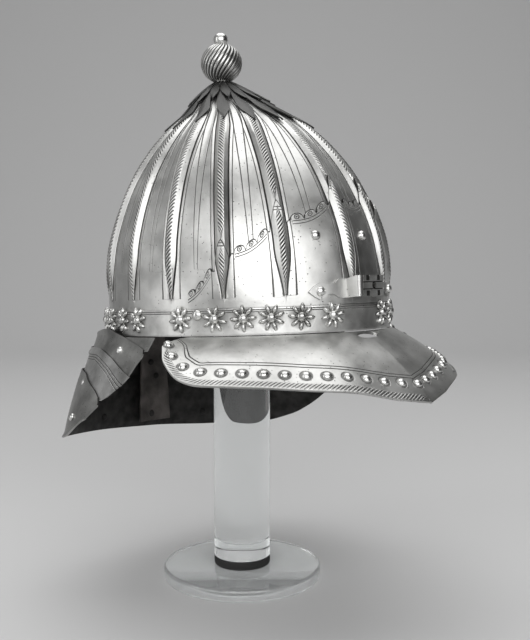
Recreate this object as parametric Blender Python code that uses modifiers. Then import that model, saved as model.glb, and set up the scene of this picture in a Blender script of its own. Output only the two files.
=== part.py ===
"""Lobster-tail pot helmet on a clear display stand.

Lengths are metres and +Z is up.  The origin is the centre of the stand's
underside.  The helmet is laid out in its own frame, whose origin is the
centre of the star line on the brow band: the front is -Y and the wearer's
left is +X.  An empty then lifts and tips that frame onto the stand.
"""
import math

import bpy
import bmesh
from mathutils import Vector

MM = 0.001

# Clearance between pieces that touch
GAP = 0.3 * MM

# Display stand
BASE_RADIUS = 62.0 * MM
BASE_THICKNESS = 10.0 * MM
BASE_ROUNDING = 3.0 * MM
COLUMN_RADIUS = 22.1 * MM
PAD_RADIUS = COLUMN_RADIUS
PAD_THICKNESS = 6.5 * MM
COLUMN_DOME = 14.0 * MM

# How the helmet sits on the stand
STAR_LINE_HEIGHT = 207.6 * MM
HELMET_SHIFT_X = 1.4 * MM
HELMET_SHIFT_Y = -1.4 * MM
HELMET_PITCH = math.radians(4.3)
HELMET_ROLL = math.radians(1.45)

# Skull
SKULL_HALF_LENGTH = 116.4 * MM
SKULL_HALF_WIDTH = 97.0 * MM
SKULL_HEIGHT = 177.0 * MM
SKULL_DROP = 10.0 * MM
SKULL_WALL = 2.0 * MM
APEX_SWEEP = 16.0 * MM
RIDGE_HEIGHT = 3.6 * MM
RIDGE_HALF_ANGLE = 3.3
PANEL_HOLLOW = 0.8 * MM

# Height, girth and rearward sweep of the skull as shares of its height,
# its base size and APEX_SWEEP, and how far its ridges stand there
SKULL_SECTIONS = (
    # height, girth, sweep, ridge
    (0.060, 1.000, -0.08, 0.00),
    (0.170, 0.993, -0.08, 0.60),
    (0.280, 0.970, -0.08, 0.90),
    (0.380, 0.925, -0.08, 1.00),
    (0.480, 0.862, -0.08, 1.00),
    (0.580, 0.780, -0.08, 0.95),
    (0.680, 0.668, -0.05, 0.80),
    (0.770, 0.540, 0.00, 0.45),
    (0.850, 0.388, 0.20, 0.12),
    (0.915, 0.253, 0.60, 0.00),
    (0.965, 0.125, 0.85, 0.00),
    (1.000, 0.000, 1.00, 0.00),
)

# Degrees from the front towards the wearer's right, one for each hammered ridge
RIDGE_ANGLES = (
    5.0, 33.5, 55.5, 76.5, 96.5, 117.0, 138.5, 160.5,
    182.5, 205.0, 228.0, 251.0, 274.0, 297.0, 320.0, 342.5,
)

# Where the column's dome meets the crown, as a share of the skull's height
COLUMN_REACH = 0.9028
COLUMN_TOP = STAR_LINE_HEIGHT + COLUMN_REACH * SKULL_HEIGHT

# Brow band and its rosettes
BAND_HEIGHT = 18.5 * MM
BAND_TOP = 7.0 * MM
BAND_THICKNESS = 1.5 * MM
ROSETTE_RADIUS = 8.7 * MM
ROSETTE_WAIST = 3.4 * MM
ROSETTE_DOME_RADIUS = 3.3 * MM
ROSETTE_DOME_HEIGHT = 3.6 * MM
ROSETTE_RAY_HEIGHT = 1.3 * MM
ROSETTE_RAYS = 8
ROSETTE_ANGLES = (
    15.0, 27.8, 38.9, 48.9, 59.2, 72.4, 93.0, 103.3, 114.5, 125.5, 136.5,
    147.5, 158.5, 169.5, 180.5, 191.5, 202.5, 213.5, 224.5, 235.5, 246.5,
    257.5, 268.5, 279.5, 290.0, 300.5, 311.0, 321.0, 332.0, 345.0,
)

# Brow plate
PLATE_THICKNESS = 1.2 * MM
PLATE_FOOT_CLEARANCE = 0.4 * MM
PLATE_CLEARANCE = 1.2 * MM
PLATE_HALF_ANGLE = 75.5

# Upper border of the brow plate and its tongues over the ridges: angle from
# the middle of the front panel as a share of PLATE_HALF_ANGLE, and height or
# rise as a share of the skull's height
PLATE_BORDER = (
    (0.00, 0.40), (0.08, 0.43), (0.22, 0.42), (0.37, 0.385), (0.46, 0.36),
    (0.57, 0.33), (0.73, 0.25), (0.86, 0.20), (1.00, 0.075),
)
PLATE_TONGUE_RISE = (0.0, 0.0, 0.0, 0.08, 0.45, 1.0)
PLATE_TONGUES = ((0.15, 0.105), (0.525, 0.09), (0.80, 0.075))

# Peak: inner edge along the brow band, outer edge as shares of its lengths
PEAK_THICKNESS = 1.8 * MM
PEAK_REACH = 177.0 * MM
PEAK_HALF_WIDTH = 131.0 * MM
PEAK_DROP = 58.0 * MM
PEAK_BASE_ANGLE = 68.0
PEAK_ROWS = 4
PEAK_CROWN = 0.10

# Share of the base angle, forward reach, half width and drop of the edge
PEAK_EDGE = (
    (0.00, 1.000, 0.00, 1.00),
    (0.16, 0.955, 0.20, 0.93),
    (0.34, 0.885, 0.43, 0.81),
    (0.48, 0.790, 0.60, 0.77),
    (0.61, 0.680, 0.745, 0.73),
    (0.73, 0.580, 0.880, 0.70),
    (0.83, 0.500, 0.965, 0.68),
    (0.90, 0.420, 1.000, 0.60),
    (0.96, 0.345, 0.985, 0.44),
    (1.00, 0.285, 0.925, 0.27),
)
SLOT_WIDTH = 21.0 * MM
SLOT_DEPTH = 7.5 * MM
SLOT_OFFSET = 6.0 * MM
PEAK_RIVET_RADIUS = 2.6 * MM
PEAK_RIVET_HEIGHT = 1.7 * MM
PEAK_RIVET_INSET = 0.20
PEAK_RIVETS_PER_SIDE = 13

# Nasal bracket
BRACKET_WIDTH = 26.0 * MM
BRACKET_HEIGHT = 14.1 * MM
BRACKET_THICKNESS = 1.6 * MM
BRACKET_STANDOFF = 13.0 * MM
BRACKET_RISE = 19.2 * MM
BRACKET_CORNER = 2.0 * MM
BRACKET_CLEARANCE = 1.5 * GAP
# Angle, lower and upper edge in millimetres, and the share of a ridge there,
# from each ear's point in to the foot of the box
BRACKET_EAR_RIGHT = (
    (25.0, 15.6, 16.4, 0.0), (22.4, 12.6, 20.0, 0.0), (20.4, 10.8, 21.6, 0.0),
    (18.4, 12.2, 21.2, 0.0), (17.2, 14.2, 20.8, 0.0), (14.6, 13.6, 21.2, 0.0),
    (12.4, 11.4, 24.2, 0.0), (8.5, 11.4, 24.3, 0.0),
)
BRACKET_EAR_LEFT = (
    (-26.9, 15.6, 16.4, 0.0), (-24.4, 12.6, 20.0, 0.0), (-22.4, 10.8, 21.6, 0.0),
    (-20.8, 12.4, 21.0, 0.0), (-17.5, 14.0, 20.8, 1.0), (-14.2, 13.4, 21.4, 0.0),
    (-12.4, 11.4, 24.2, 0.0), (-8.5, 11.4, 24.3, 0.0),
)
BRACKET_HOLE_WIDTH = 4.4 * MM
BRACKET_HOLE_HEIGHT = 6.0 * MM
BRACKET_HOLE_SHIFT = 2.0 * MM
CUTTER_LENGTH = 30.0 * MM

# Round rivet heads on the brow plate and the band
RIVET_RADIUS = 3.4 * MM
RIVET_HEIGHT = 2.4 * MM
RIVET_SEGMENTS = 10
BAND_RIVET_RADIUS = 3.9 * MM
BAND_RIVET_ANGLE = 65.6
BAND_RIVET_RISE = 3.0 * MM
BRACKET_RIVET_RIGHT = 20.4
BRACKET_RIVET_RISE = 16.2 * MM
BRACKET_RIVET_LEFT = -22.4
BROW_RIVET_ANGLE = 19.25
CENTRE_RIVET_ANGLE = -6.25
BROW_RIVET_RISE = 54.0 * MM

# Finial and its leaves
BALL_RADIUS = 15.2 * MM
BALL_FOOT_RADIUS = 4.0 * MM
KNOB_RADIUS = 5.3 * MM
KNOB_RISE = 18.3 * MM
KNOB_STEPS = 4
BALL_STEPS = 8
FINIAL_SEGMENTS = 16
LEAF_THICKNESS = 1.0 * MM
LEAF_COUNT = 10
LEAF_ROWS = 2
LEAF_CLEARANCE = 1.25 * MM
LEAF_ROOT = 0.97
LEAF_VALLEY = 0.42
LEAF_PHASE = 9.0
LOWER_LEAF_DROP = 0.175
UPPER_LEAF_DROP = 0.068

# Neck guard
GUARD_DEPTH = 100.0 * MM
GUARD_BACK_FLARE = 2.6 * MM
GUARD_SIDE_FLARE = 37.0 * MM
GUARD_SQUARENESS = 2.3
LAME_THICKNESS = 1.2 * MM
LAME_STEP = LAME_THICKNESS + 1.5 * GAP
LAME_COLUMN_ANGLE = 9.0
LAME_ROWS = 3

# How much of the flare beyond the skull the guard's inner face has down its depth
GUARD_SECTIONS = (
    # depth, side, back
    (0.12, 0.040, 0.31),
    (0.30, 0.295, 0.54),
    (0.50, 0.584, 0.77),
    (0.80, 0.927, 1.00),
    (1.02, 1.073, 1.46),
)

# Depth of the lower rim from the wearer's right end to the left, as shares
GUARD_RIM = (
    (-1.00, 0.80), (-0.75, 0.87), (-0.50, 0.90), (-0.25, 0.92), (0.00, 0.95),
    (0.33, 1.00), (0.63, 1.01), (0.82, 0.95), (0.93, 0.87), (1.00, 0.76),
)

# Lames from the top: half angle, depth share of the upper and lower edge at
# the back and at the ends (a lower edge of None follows the rim)
LAMES = (
    # name, half angle, top back, top end, bottom back, bottom end
    ("neck_lame_1", 92.0, 0.120, 0.120, 0.26, 0.24),
    ("neck_lame_2", 89.0, 0.130, 0.200, 0.42, 0.41),
    ("neck_lame_3", 83.0, 0.240, 0.385, 0.76, 0.58),
    ("neck_lame_4", 75.0, 0.450, 0.545, None, None),
)

# Leather strap inside the neck guard
STRAP_HALF_ANGLE = 5.0
STRAP_THICKNESS = 1.8 * MM
STRAP_TOP = 0.125
STRAP_BOTTOM = 0.90
STRAP_ROWS = 8


def clear_scene():
    for item in list(bpy.data.objects):
        bpy.data.objects.remove(item, do_unlink=True)


def new_collection(name):
    made = bpy.data.collections.new(name)
    bpy.context.scene.collection.children.link(made)
    return made


def new_material(name, colour, roughness, metallic, alpha=1.0):
    material = bpy.data.materials.new(name)
    material.use_nodes = True
    shader = material.node_tree.nodes["Principled BSDF"]
    shader.inputs["Base Color"].default_value = (*colour, 1.0)
    shader.inputs["Roughness"].default_value = roughness
    shader.inputs["Metallic"].default_value = metallic
    shader.inputs["Alpha"].default_value = alpha
    return material


def new_object(name, mesh, collection, material=None, parent=None):
    made = bpy.data.objects.new(name, mesh)
    collection.objects.link(made)
    if material is not None:
        mesh.materials.append(material)
    made.parent = parent
    return made


def mesh_from_bmesh(name, shape):
    bmesh.ops.recalc_face_normals(shape, faces=shape.faces)
    mesh = bpy.data.meshes.new(name)
    shape.to_mesh(mesh)
    shape.free()
    return mesh


def smooth(item, degrees=35.0):
    item.data.shade_smooth()
    item.data.set_sharp_from_angle(angle=math.radians(degrees))


def interpolate(x, table, column=1):
    """Read a table of rising first values in straight steps."""
    if x <= table[0][0]:
        return table[0][column]
    for low, high in zip(table, table[1:]):
        if x <= high[0]:
            share = (x - low[0]) / (high[0] - low[0])
            return low[column] + share * (high[column] - low[column])
    return table[-1][column]


def loft(name, rows, closed=False, tip=None):
    """Skin rows of points with quads; a tip closes the last row with a fan."""
    shape = bmesh.new()
    grid = [[shape.verts.new(point) for point in row] for row in rows]
    count = len(grid[0])
    steps = count if closed else count - 1
    for low, high in zip(grid, grid[1:]):
        for i in range(steps):
            j = (i + 1) % count
            shape.faces.new((low[i], low[j], high[j], high[i]))
    if tip is not None:
        top = shape.verts.new(tip)
        for i in range(steps):
            shape.faces.new((grid[-1][i], grid[-1][(i + 1) % count], top))
    return shape


def orient_away_from(shape, centre):
    """Turn an open surface so that its faces look away from a point."""
    bmesh.ops.recalc_face_normals(shape, faces=shape.faces)
    score = sum(
        face.normal.dot(face.calc_center_median() - centre) * face.calc_area()
        for face in shape.faces
    )
    if score < 0.0:
        bmesh.ops.reverse_faces(shape, faces=shape.faces)


def shell_object(name, shape, thickness, centre, collection, material, parent):
    """An open surface given a wall on the side that faces a point."""
    orient_away_from(shape, centre)
    mesh = bpy.data.meshes.new(name)
    shape.to_mesh(mesh)
    shape.free()
    made = new_object(name, mesh, collection, material, parent)
    wall = made.modifiers.new("Wall", "SOLIDIFY")
    wall.thickness = thickness
    wall.offset = -1.0
    wall.use_even_offset = True
    smooth(made)
    return made


def turned_object(name, profile, segments, collection, material, parent=None):
    """Spin a profile of radius and height pairs, top to bottom, round Z."""
    mesh = bpy.data.meshes.new(name)
    points = [(radius, 0.0, height) for radius, height in profile]
    edges = [(i, i + 1) for i in range(len(points) - 1)]
    mesh.from_pydata(points, edges, [])
    made = new_object(name, mesh, collection, material, parent)
    screw = made.modifiers.new("Turned", "SCREW")
    screw.steps = segments
    screw.render_steps = segments
    screw.use_merge_vertices = True
    screw.merge_threshold = 0.00001
    smooth(made)
    return made


def girth_oval(height):
    """How much longer than wide the skull is, falling to none at the apex."""
    base = (SKULL_HALF_LENGTH - SKULL_HALF_WIDTH) / (SKULL_HALF_LENGTH + SKULL_HALF_WIDTH)
    share = max(0.0, min(1.0, height / SKULL_HEIGHT))
    return base * (1.0 - share * share)


def skull_section(height):
    share = height / SKULL_HEIGHT
    girth = interpolate(share, SKULL_SECTIONS, 1)
    sweep = interpolate(share, SKULL_SECTIONS, 2) * APEX_SWEEP
    ridge = interpolate(share, SKULL_SECTIONS, 3)
    return girth, sweep, ridge


def skull_lean(height):
    """How far the wall leans in from upright, measured over a short span."""
    span = 0.03 * SKULL_HEIGHT
    top = min(height + span, SKULL_HEIGHT)
    girths = [skull_section(level)[0] for level in (top - 2.0 * span, top)]
    mean = (SKULL_HALF_LENGTH + SKULL_HALF_WIDTH) / 2.0
    return math.atan((girths[0] - girths[1]) * mean / (2.0 * span))


def skull_point(angle, height, stand_off=0.0):
    """A point on the outside of the skull; angle runs to the wearer's right.

    A stand-off moves it square to the skull's profile at that height.
    """
    girth, sweep, _ = skull_section(height)
    mean = girth * (SKULL_HALF_LENGTH + SKULL_HALF_WIDTH) / 2.0
    oval = girth_oval(height)
    turn = math.radians(angle)
    lean = skull_lean(height)
    half_length = mean * (1.0 + oval) + stand_off * math.cos(lean)
    half_width = mean * (1.0 - oval) + stand_off * math.cos(lean)
    return Vector((
        -half_width * math.sin(turn),
        -half_length * math.cos(turn) + sweep,
        height + stand_off * math.sin(lean),
    ))


def ridged_point(column, height, stand_off=0.0):
    """A skull point raised on a ridge or sunk in a panel, as its column says."""
    angle, crest, hollow = column
    ridge = skull_section(height)[2]
    lift = ridge * (crest * RIDGE_HEIGHT - hollow * PANEL_HOLLOW)
    return skull_point(angle, height, stand_off + lift)


def skull_columns():
    """Angle, ridge share and hollow share, four columns for each ridge."""
    columns = []
    count = len(RIDGE_ANGLES)
    for i, angle in enumerate(RIDGE_ANGLES):
        following = RIDGE_ANGLES[(i + 1) % count]
        if following < angle:
            following += 360.0
        columns.append((angle, 1.0, 0.0))
        columns.append((angle + RIDGE_HALF_ANGLE, 0.0, 0.0))
        columns.append(((angle + following) / 2.0, 0.0, 1.0))
        columns.append((following - RIDGE_HALF_ANGLE, 0.0, 0.0))
    return columns


def make_skull(collection, material, parent):
    heights = [-SKULL_DROP]
    heights += [row[0] * SKULL_HEIGHT for row in SKULL_SECTIONS[:-1]]
    columns = skull_columns()
    rows = [[ridged_point(column, height) for column in columns] for height in heights]
    apex = Vector((0.0, APEX_SWEEP, SKULL_HEIGHT))
    shape = loft("skull", rows, closed=True, tip=apex)
    centre = Vector((0.0, 0.0, SKULL_HEIGHT * 0.3))
    return shell_object("skull", shape, SKULL_WALL, centre, collection, material, parent)


def make_band(collection, material, parent):
    """A flat strip round the foot of the skull."""
    outer = GAP + BAND_THICKNESS
    heights = (BAND_TOP - BAND_HEIGHT, BAND_TOP)
    rows = [
        [skull_point(column[0], height, outer) for column in skull_columns()]
        for height in heights
    ]
    shape = loft("base_band", rows, closed=True)
    centre = Vector((0.0, 0.0, 0.0))
    return shell_object(
        "base_band", shape, BAND_THICKNESS, centre, collection, material, parent
    )


def plate_columns():
    """The skull's own columns under the brow plate, with the plate's two ends."""
    middle = (RIDGE_ANGLES[0] + RIDGE_ANGLES[-1] - 360.0) / 2.0
    inside = []
    for angle, crest, hollow in skull_columns():
        turned = (angle - middle + 180.0) % 360.0 - 180.0
        if abs(turned) < PLATE_HALF_ANGLE - 1.0:
            inside.append((turned, (angle, crest, hollow)))
    inside.sort(key=lambda pair: pair[0])
    ends = [
        (side * PLATE_HALF_ANGLE, (middle + side * PLATE_HALF_ANGLE, 0.0, 0.5))
        for side in (-1, 1)
    ]
    return [ends[0]] + inside + [ends[1]]


def make_brow_plate(collection, material, parent):
    """A second thickness over the front, with tongues up its ridges."""
    low = BAND_TOP + GAP
    steps = len(PLATE_TONGUE_RISE) - 1
    rows = [[] for _ in range(steps + 1)]
    for turned, column in plate_columns():
        share = abs(turned) / PLATE_HALF_ANGLE
        high = interpolate(share, PLATE_BORDER) * SKULL_HEIGHT
        tongue = column[1] * interpolate(share, PLATE_TONGUES) * SKULL_HEIGHT
        for i in range(steps + 1):
            height = low + (high - low) * i / steps
            height += tongue * PLATE_TONGUE_RISE[i]
            rise = min(1.0, i / 2.0)
            clearance = PLATE_FOOT_CLEARANCE
            clearance += rise * (PLATE_CLEARANCE - PLATE_FOOT_CLEARANCE)
            outer = clearance + PLATE_THICKNESS
            rows[i].append(ridged_point(column, height, outer))
    shape = loft("brow_plate", rows)
    centre = Vector((0.0, 0.0, 0.0))
    return shell_object(
        "brow_plate", shape, PLATE_THICKNESS, centre, collection, material, parent
    )


def dome_profile(radius, height, steps=3):
    """A rivet head's profile from its top to its flat underside."""
    profile = []
    for i in range(steps + 1):
        turn = math.radians(90.0) * (1.0 - i / steps)
        profile.append((radius * math.cos(turn), height * math.sin(turn)))
    profile.append((0.0, 0.0))
    return profile


def place_on(item, point, outward):
    """Stand a turned piece on a point with its axis along a direction."""
    item.location = point
    item.rotation_mode = "QUATERNION"
    item.rotation_quaternion = Vector(outward).to_track_quat("Z", "Y")


def outward_at(angle, height):
    """The skull's horizontal-ish outward direction, from nearby points."""
    along = skull_point(angle + 1.0, height) - skull_point(angle - 1.0, height)
    up = skull_point(angle, height + MM) - skull_point(angle, height - MM)
    normal = along.cross(up)
    if normal.dot(skull_point(angle, height)) < 0.0:
        normal.negate()
    return normal.normalized()


def make_rivet(name, place, outward, radius, collection, material, parent):
    rivet = turned_object(name, dome_profile(radius, RIVET_HEIGHT),
                          RIVET_SEGMENTS, collection,
                          material, parent)
    place_on(rivet, place + outward * GAP, outward)
    return rivet


def rosette_mesh():
    """Eight slender rays round a domed boss, flat behind."""
    shape = bmesh.new()
    count = 2 * ROSETTE_RAYS

    def ring(radii, height):
        points = []
        for i, radius in enumerate(radii):
            turn = 2.0 * math.pi * i / len(radii)
            place = (radius * math.cos(turn), radius * math.sin(turn), height)
            points.append(shape.verts.new(place))
        return points

    outline = ring([ROSETTE_RADIUS, ROSETTE_WAIST] * ROSETTE_RAYS, 0.0)
    boss = ring([ROSETTE_DOME_RADIUS] * count, ROSETTE_RAY_HEIGHT)
    crown = ring([ROSETTE_DOME_RADIUS * 0.66] * ROSETTE_RAYS, ROSETTE_DOME_HEIGHT)
    for i in range(count):
        j = (i + 1) % count
        shape.faces.new((outline[i], outline[j], boss[j], boss[i]))
    for i in range(ROSETTE_RAYS):
        j = (i + 1) % ROSETTE_RAYS
        side = boss[2 * i + 1]
        shape.faces.new((boss[2 * i], side, crown[i]))
        shape.faces.new((side, boss[(2 * i + 2) % count], crown[j]))
        shape.faces.new((side, crown[j], crown[i]))
    shape.faces.new(crown)
    shape.faces.new(outline)
    return mesh_from_bmesh("rosette", shape)


def make_rosettes(collection, material, parent):
    """One mesh shared by the rosettes along the star line."""
    mesh = rosette_mesh()
    mesh.materials.append(material)
    stand_off = GAP + BAND_THICKNESS
    for i, angle in enumerate(ROSETTE_ANGLES):
        rosette = new_object(f"rosette_{i + 1:02d}", mesh, collection, None, parent)
        outward = outward_at(angle, 0.0)
        place_on(rosette, skull_point(angle, 0.0, stand_off) + outward * GAP, outward)


def peak_edge_point(share):
    """The outer edge of the peak; share runs from -1 to 1 through the tip."""
    size = abs(share)
    side = -1.0 if share > 0.0 else 1.0
    reach = interpolate(size, PEAK_EDGE, 1) * PEAK_REACH
    width = interpolate(size, PEAK_EDGE, 2) * PEAK_HALF_WIDTH
    drop = interpolate(size, PEAK_EDGE, 3) * PEAK_DROP
    return Vector((side * width, -reach, -drop))


def peak_point(share, across):
    """A point on the peak from its root, across 0, to its edge, across 1."""
    low = BAND_TOP - BAND_HEIGHT - GAP
    root = skull_point(share * PEAK_BASE_ANGLE, low, GAP + BAND_THICKNESS)
    edge = peak_edge_point(share)
    point = root.lerp(edge, across)
    bulge = 4.0 * across * (1.0 - across) * PEAK_CROWN
    point.z += bulge * (root - edge).length * 0.5
    return point


def peak_shares():
    shares = [row[0] for row in PEAK_EDGE]
    middles = [(low + high) / 2.0 for low, high in zip(shares, shares[1:])]
    half = sorted(shares + middles)
    return [-share for share in reversed(half[1:])] + half


def peak_rivet_places():
    """Even steps along a line inset from the peak's edge, tip included."""
    samples = [peak_point(i / 200.0, 1.0 - PEAK_RIVET_INSET) for i in range(-193, 194)]
    shares = [i / 200.0 for i in range(-193, 194)]
    lengths = [0.0]
    for low, high in zip(samples, samples[1:]):
        lengths.append(lengths[-1] + (high - low).length)
    count = 2 * PEAK_RIVETS_PER_SIDE + 1
    table = list(zip(lengths, shares))
    return [interpolate(lengths[-1] * i / (count - 1), table) for i in range(count)]


def peak_normal(share, across):
    along = peak_point(share + 0.01, across) - peak_point(share - 0.01, across)
    out = peak_point(share, across + 0.02) - peak_point(share, across - 0.02)
    normal = along.cross(out)
    if normal.z < 0.0:
        normal.negate()
    return normal.normalized()


def make_peak(collection, cutters, material, parent):
    rows = [
        [peak_point(share, row / PEAK_ROWS) for share in peak_shares()]
        for row in range(PEAK_ROWS + 1)
    ]
    shape = loft("peak", rows)
    below = Vector((0.0, 0.0, -1.0))
    peak = shell_object("peak", shape, PEAK_THICKNESS, below, collection, material, parent)

    slot = bmesh.new()
    bmesh.ops.create_cone(slot, cap_ends=True, segments=20, radius1=0.5, radius2=0.5,
                          depth=1.0)
    bmesh.ops.scale(slot, vec=(SLOT_WIDTH, SLOT_DEPTH, CUTTER_LENGTH), verts=slot.verts)
    place = skull_point(0.0, BAND_TOP - BAND_HEIGHT, SLOT_OFFSET)
    bmesh.ops.translate(slot, vec=(place.x, place.y, place.z), verts=slot.verts)
    cutter = new_object("peak_slot_cutter", mesh_from_bmesh("peak_slot_cutter", slot),
                        cutters, None, parent)
    cut = peak.modifiers.new("Nasal slot", "BOOLEAN")
    cut.operation = "DIFFERENCE"
    cut.object = cutter

    heads = bmesh.new()
    for share in peak_rivet_places():
        normal = peak_normal(share, 1.0 - PEAK_RIVET_INSET)
        place = peak_point(share, 1.0 - PEAK_RIVET_INSET)
        made = bmesh.ops.create_icosphere(heads, subdivisions=1, radius=1.0)
        turn = normal.to_track_quat("Z", "Y").to_matrix()
        bmesh.ops.scale(heads, verts=made["verts"],
                        vec=(PEAK_RIVET_RADIUS, PEAK_RIVET_RADIUS, PEAK_RIVET_HEIGHT))
        bmesh.ops.rotate(heads, verts=made["verts"], matrix=turn)
        bmesh.ops.translate(heads, verts=made["verts"], vec=place)
    rivets = new_object("peak_rivet_heads", mesh_from_bmesh("peak_rivet_heads", heads),
                        cutters, None, parent)
    join = peak.modifiers.new("Rivet heads", "BOOLEAN")
    join.operation = "UNION"
    join.object = rivets
    return peak


def bracket_ear(stations, outer, edge):
    """Points along one edge of an ear, from its pointed end to the box."""
    return [
        ridged_point((station[0], station[3], 0.0), station[edge] * MM, outer)
        for station in stations
    ]


def make_bracket(collection, cutters, material, parent):
    """A strap bent round a raised box, with an ear riveted at each end."""
    outer = PLATE_CLEARANCE + PLATE_THICKNESS + BRACKET_CLEARANCE + BRACKET_THICKNESS
    face = skull_point(0.0, BRACKET_RISE).y - BRACKET_STANDOFF
    half = BRACKET_WIDTH / 2.0
    rows = []
    for edge, side in ((1, -0.5), (2, 0.5)):
        rise = BRACKET_RISE + side * BRACKET_HEIGHT
        corner = Vector((half, face + BRACKET_CORNER, rise))
        front = Vector((half - BRACKET_CORNER, face, rise))
        turns = [Vector((-corner.x, corner.y, rise)), Vector((-front.x, face, rise)), front, corner]
        left = bracket_ear(BRACKET_EAR_LEFT, outer, edge)
        rows.append(bracket_ear(BRACKET_EAR_RIGHT, outer, edge) + turns + left[::-1])
    shape = loft("nasal_bracket", rows)
    centre = Vector((0.0, 0.0, BRACKET_RISE))
    bracket = shell_object(
        "nasal_bracket", shape, BRACKET_THICKNESS, centre, collection, material, parent
    )
    hole = bmesh.new()
    bmesh.ops.create_cone(hole, cap_ends=True, segments=16, radius1=0.5, radius2=0.5,
                          depth=1.0)
    bmesh.ops.scale(hole, verts=hole.verts,
                    vec=(BRACKET_HOLE_WIDTH, BRACKET_HOLE_HEIGHT, BRACKET_STANDOFF))
    bmesh.ops.rotate(hole, verts=hole.verts,
                     matrix=Vector((0.0, 1.0, 0.0)).to_track_quat("Z", "Y").to_matrix())
    bmesh.ops.translate(hole, verts=hole.verts,
                        vec=(BRACKET_HOLE_SHIFT, face, BRACKET_RISE))
    cutter = new_object("bracket_hole_cutter", mesh_from_bmesh("bracket_hole_cutter", hole),
                        cutters, None, parent)
    cut = bracket.modifiers.new("Screw hole", "BOOLEAN")
    cut.operation = "DIFFERENCE"
    cut.object = cutter
    return bracket


def leaf_rows(drop, stand_off, phase):
    """Rows from a small collar out to pointed tips and valleys between them."""
    columns = 2 * LEAF_COUNT
    rows = []
    for row in range(LEAF_ROWS + 1):
        share = row / LEAF_ROWS
        points = []
        for i in range(columns):
            reach = drop if i % 2 == 0 else drop * LEAF_VALLEY
            height = SKULL_HEIGHT * (LEAF_ROOT - reach * share)
            ridge = skull_section(height)[2] * RIDGE_HEIGHT
            angle = phase + 360.0 * i / columns
            points.append(skull_point(angle, height, stand_off + ridge))
        rows.append(points)
    return rows


def make_leaves(name, drop, stand_off, phase, collection, material, parent):
    shape = loft(name, leaf_rows(drop, stand_off, phase), closed=True)
    centre = Vector((0.0, APEX_SWEEP, 0.0))
    return shell_object(name, shape, LEAF_THICKNESS, centre, collection, material, parent)


def make_finial(collection, material, parent):
    """Ball and knob turned in one piece, flat where it seats on the apex."""
    foot_turn = math.pi - math.asin(BALL_FOOT_RADIUS / BALL_RADIUS)
    ball = GAP - BALL_RADIUS * math.cos(foot_turn)
    joint = (BALL_RADIUS ** 2 - KNOB_RADIUS ** 2 + KNOB_RISE ** 2) / (2.0 * KNOB_RISE)
    knob_turn = math.acos((joint - KNOB_RISE) / KNOB_RADIUS)
    ball_turn = math.acos(joint / BALL_RADIUS)
    profile = []
    for i in range(KNOB_STEPS):
        turn = knob_turn * i / KNOB_STEPS
        profile.append((KNOB_RADIUS * math.sin(turn),
                        ball + KNOB_RISE + KNOB_RADIUS * math.cos(turn)))
    for i in range(BALL_STEPS + 1):
        turn = ball_turn + (foot_turn - ball_turn) * i / BALL_STEPS
        profile.append((BALL_RADIUS * math.sin(turn), ball + BALL_RADIUS * math.cos(turn)))
    profile.append((0.0, GAP))
    finial = turned_object("finial", profile, FINIAL_SEGMENTS, collection, material, parent)
    finial.location = (0.0, APEX_SWEEP, SKULL_HEIGHT)
    return finial


def guard_point(turned, depth_share, stand_off):
    """A point on the guard; turned is degrees from the back to the wearer's left."""
    side = interpolate(depth_share, GUARD_SECTIONS, 1) * GUARD_SIDE_FLARE
    rear = interpolate(depth_share, GUARD_SECTIONS, 2) * GUARD_BACK_FLARE
    width = SKULL_HALF_WIDTH + side + stand_off
    back = SKULL_HALF_LENGTH + rear + stand_off
    power = 2.0 / GUARD_SQUARENESS
    cosine = math.cos(math.radians(turned))
    sine = math.sin(math.radians(turned))
    y = back * math.copysign(abs(cosine) ** power, cosine)
    x = width * math.copysign(abs(sine) ** power, sine)
    return Vector((x, y, -depth_share * GUARD_DEPTH))


def make_lame(index, collection, material, parent):
    name, half_angle, top_back, top_end, bottom_back, bottom_end = LAMES[index]
    stand_off = (index + 1) * LAME_STEP
    rows = [[] for _ in range(LAME_ROWS + 1)]
    inner = int((half_angle - 1.0) / LAME_COLUMN_ANGLE)
    columns = [i * LAME_COLUMN_ANGLE for i in range(-inner, inner + 1)]
    for turned in [-half_angle] + columns + [half_angle]:
        share = turned / half_angle
        bend = share * share
        top = top_back + (top_end - top_back) * bend
        if bottom_back is None:
            bottom = interpolate(share, GUARD_RIM)
        else:
            bottom = bottom_back + (bottom_end - bottom_back) * bend
        for j in range(LAME_ROWS + 1):
            depth = top + (bottom - top) * j / LAME_ROWS
            rows[j].append(guard_point(turned, depth, stand_off))
    shape = loft(name, rows)
    centre = Vector((0.0, 0.0, -0.5 * GUARD_DEPTH))
    return shell_object(name, shape, LAME_THICKNESS, centre, collection, material, parent)


def make_strap(collection, material, parent):
    """The centre leather that the lames hang from."""
    rows = []
    for i in range(STRAP_ROWS + 1):
        depth = STRAP_TOP + (STRAP_BOTTOM - STRAP_TOP) * i / STRAP_ROWS
        rows.append([
            guard_point(turned, depth, -GAP)
            for turned in (-STRAP_HALF_ANGLE, 0.0, STRAP_HALF_ANGLE)
        ])
    shape = loft("neck_leather", rows)
    centre = Vector((0.0, 0.0, -0.5 * GUARD_DEPTH))
    return shell_object(
        "neck_leather", shape, STRAP_THICKNESS, centre, collection, material, parent
    )


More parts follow.
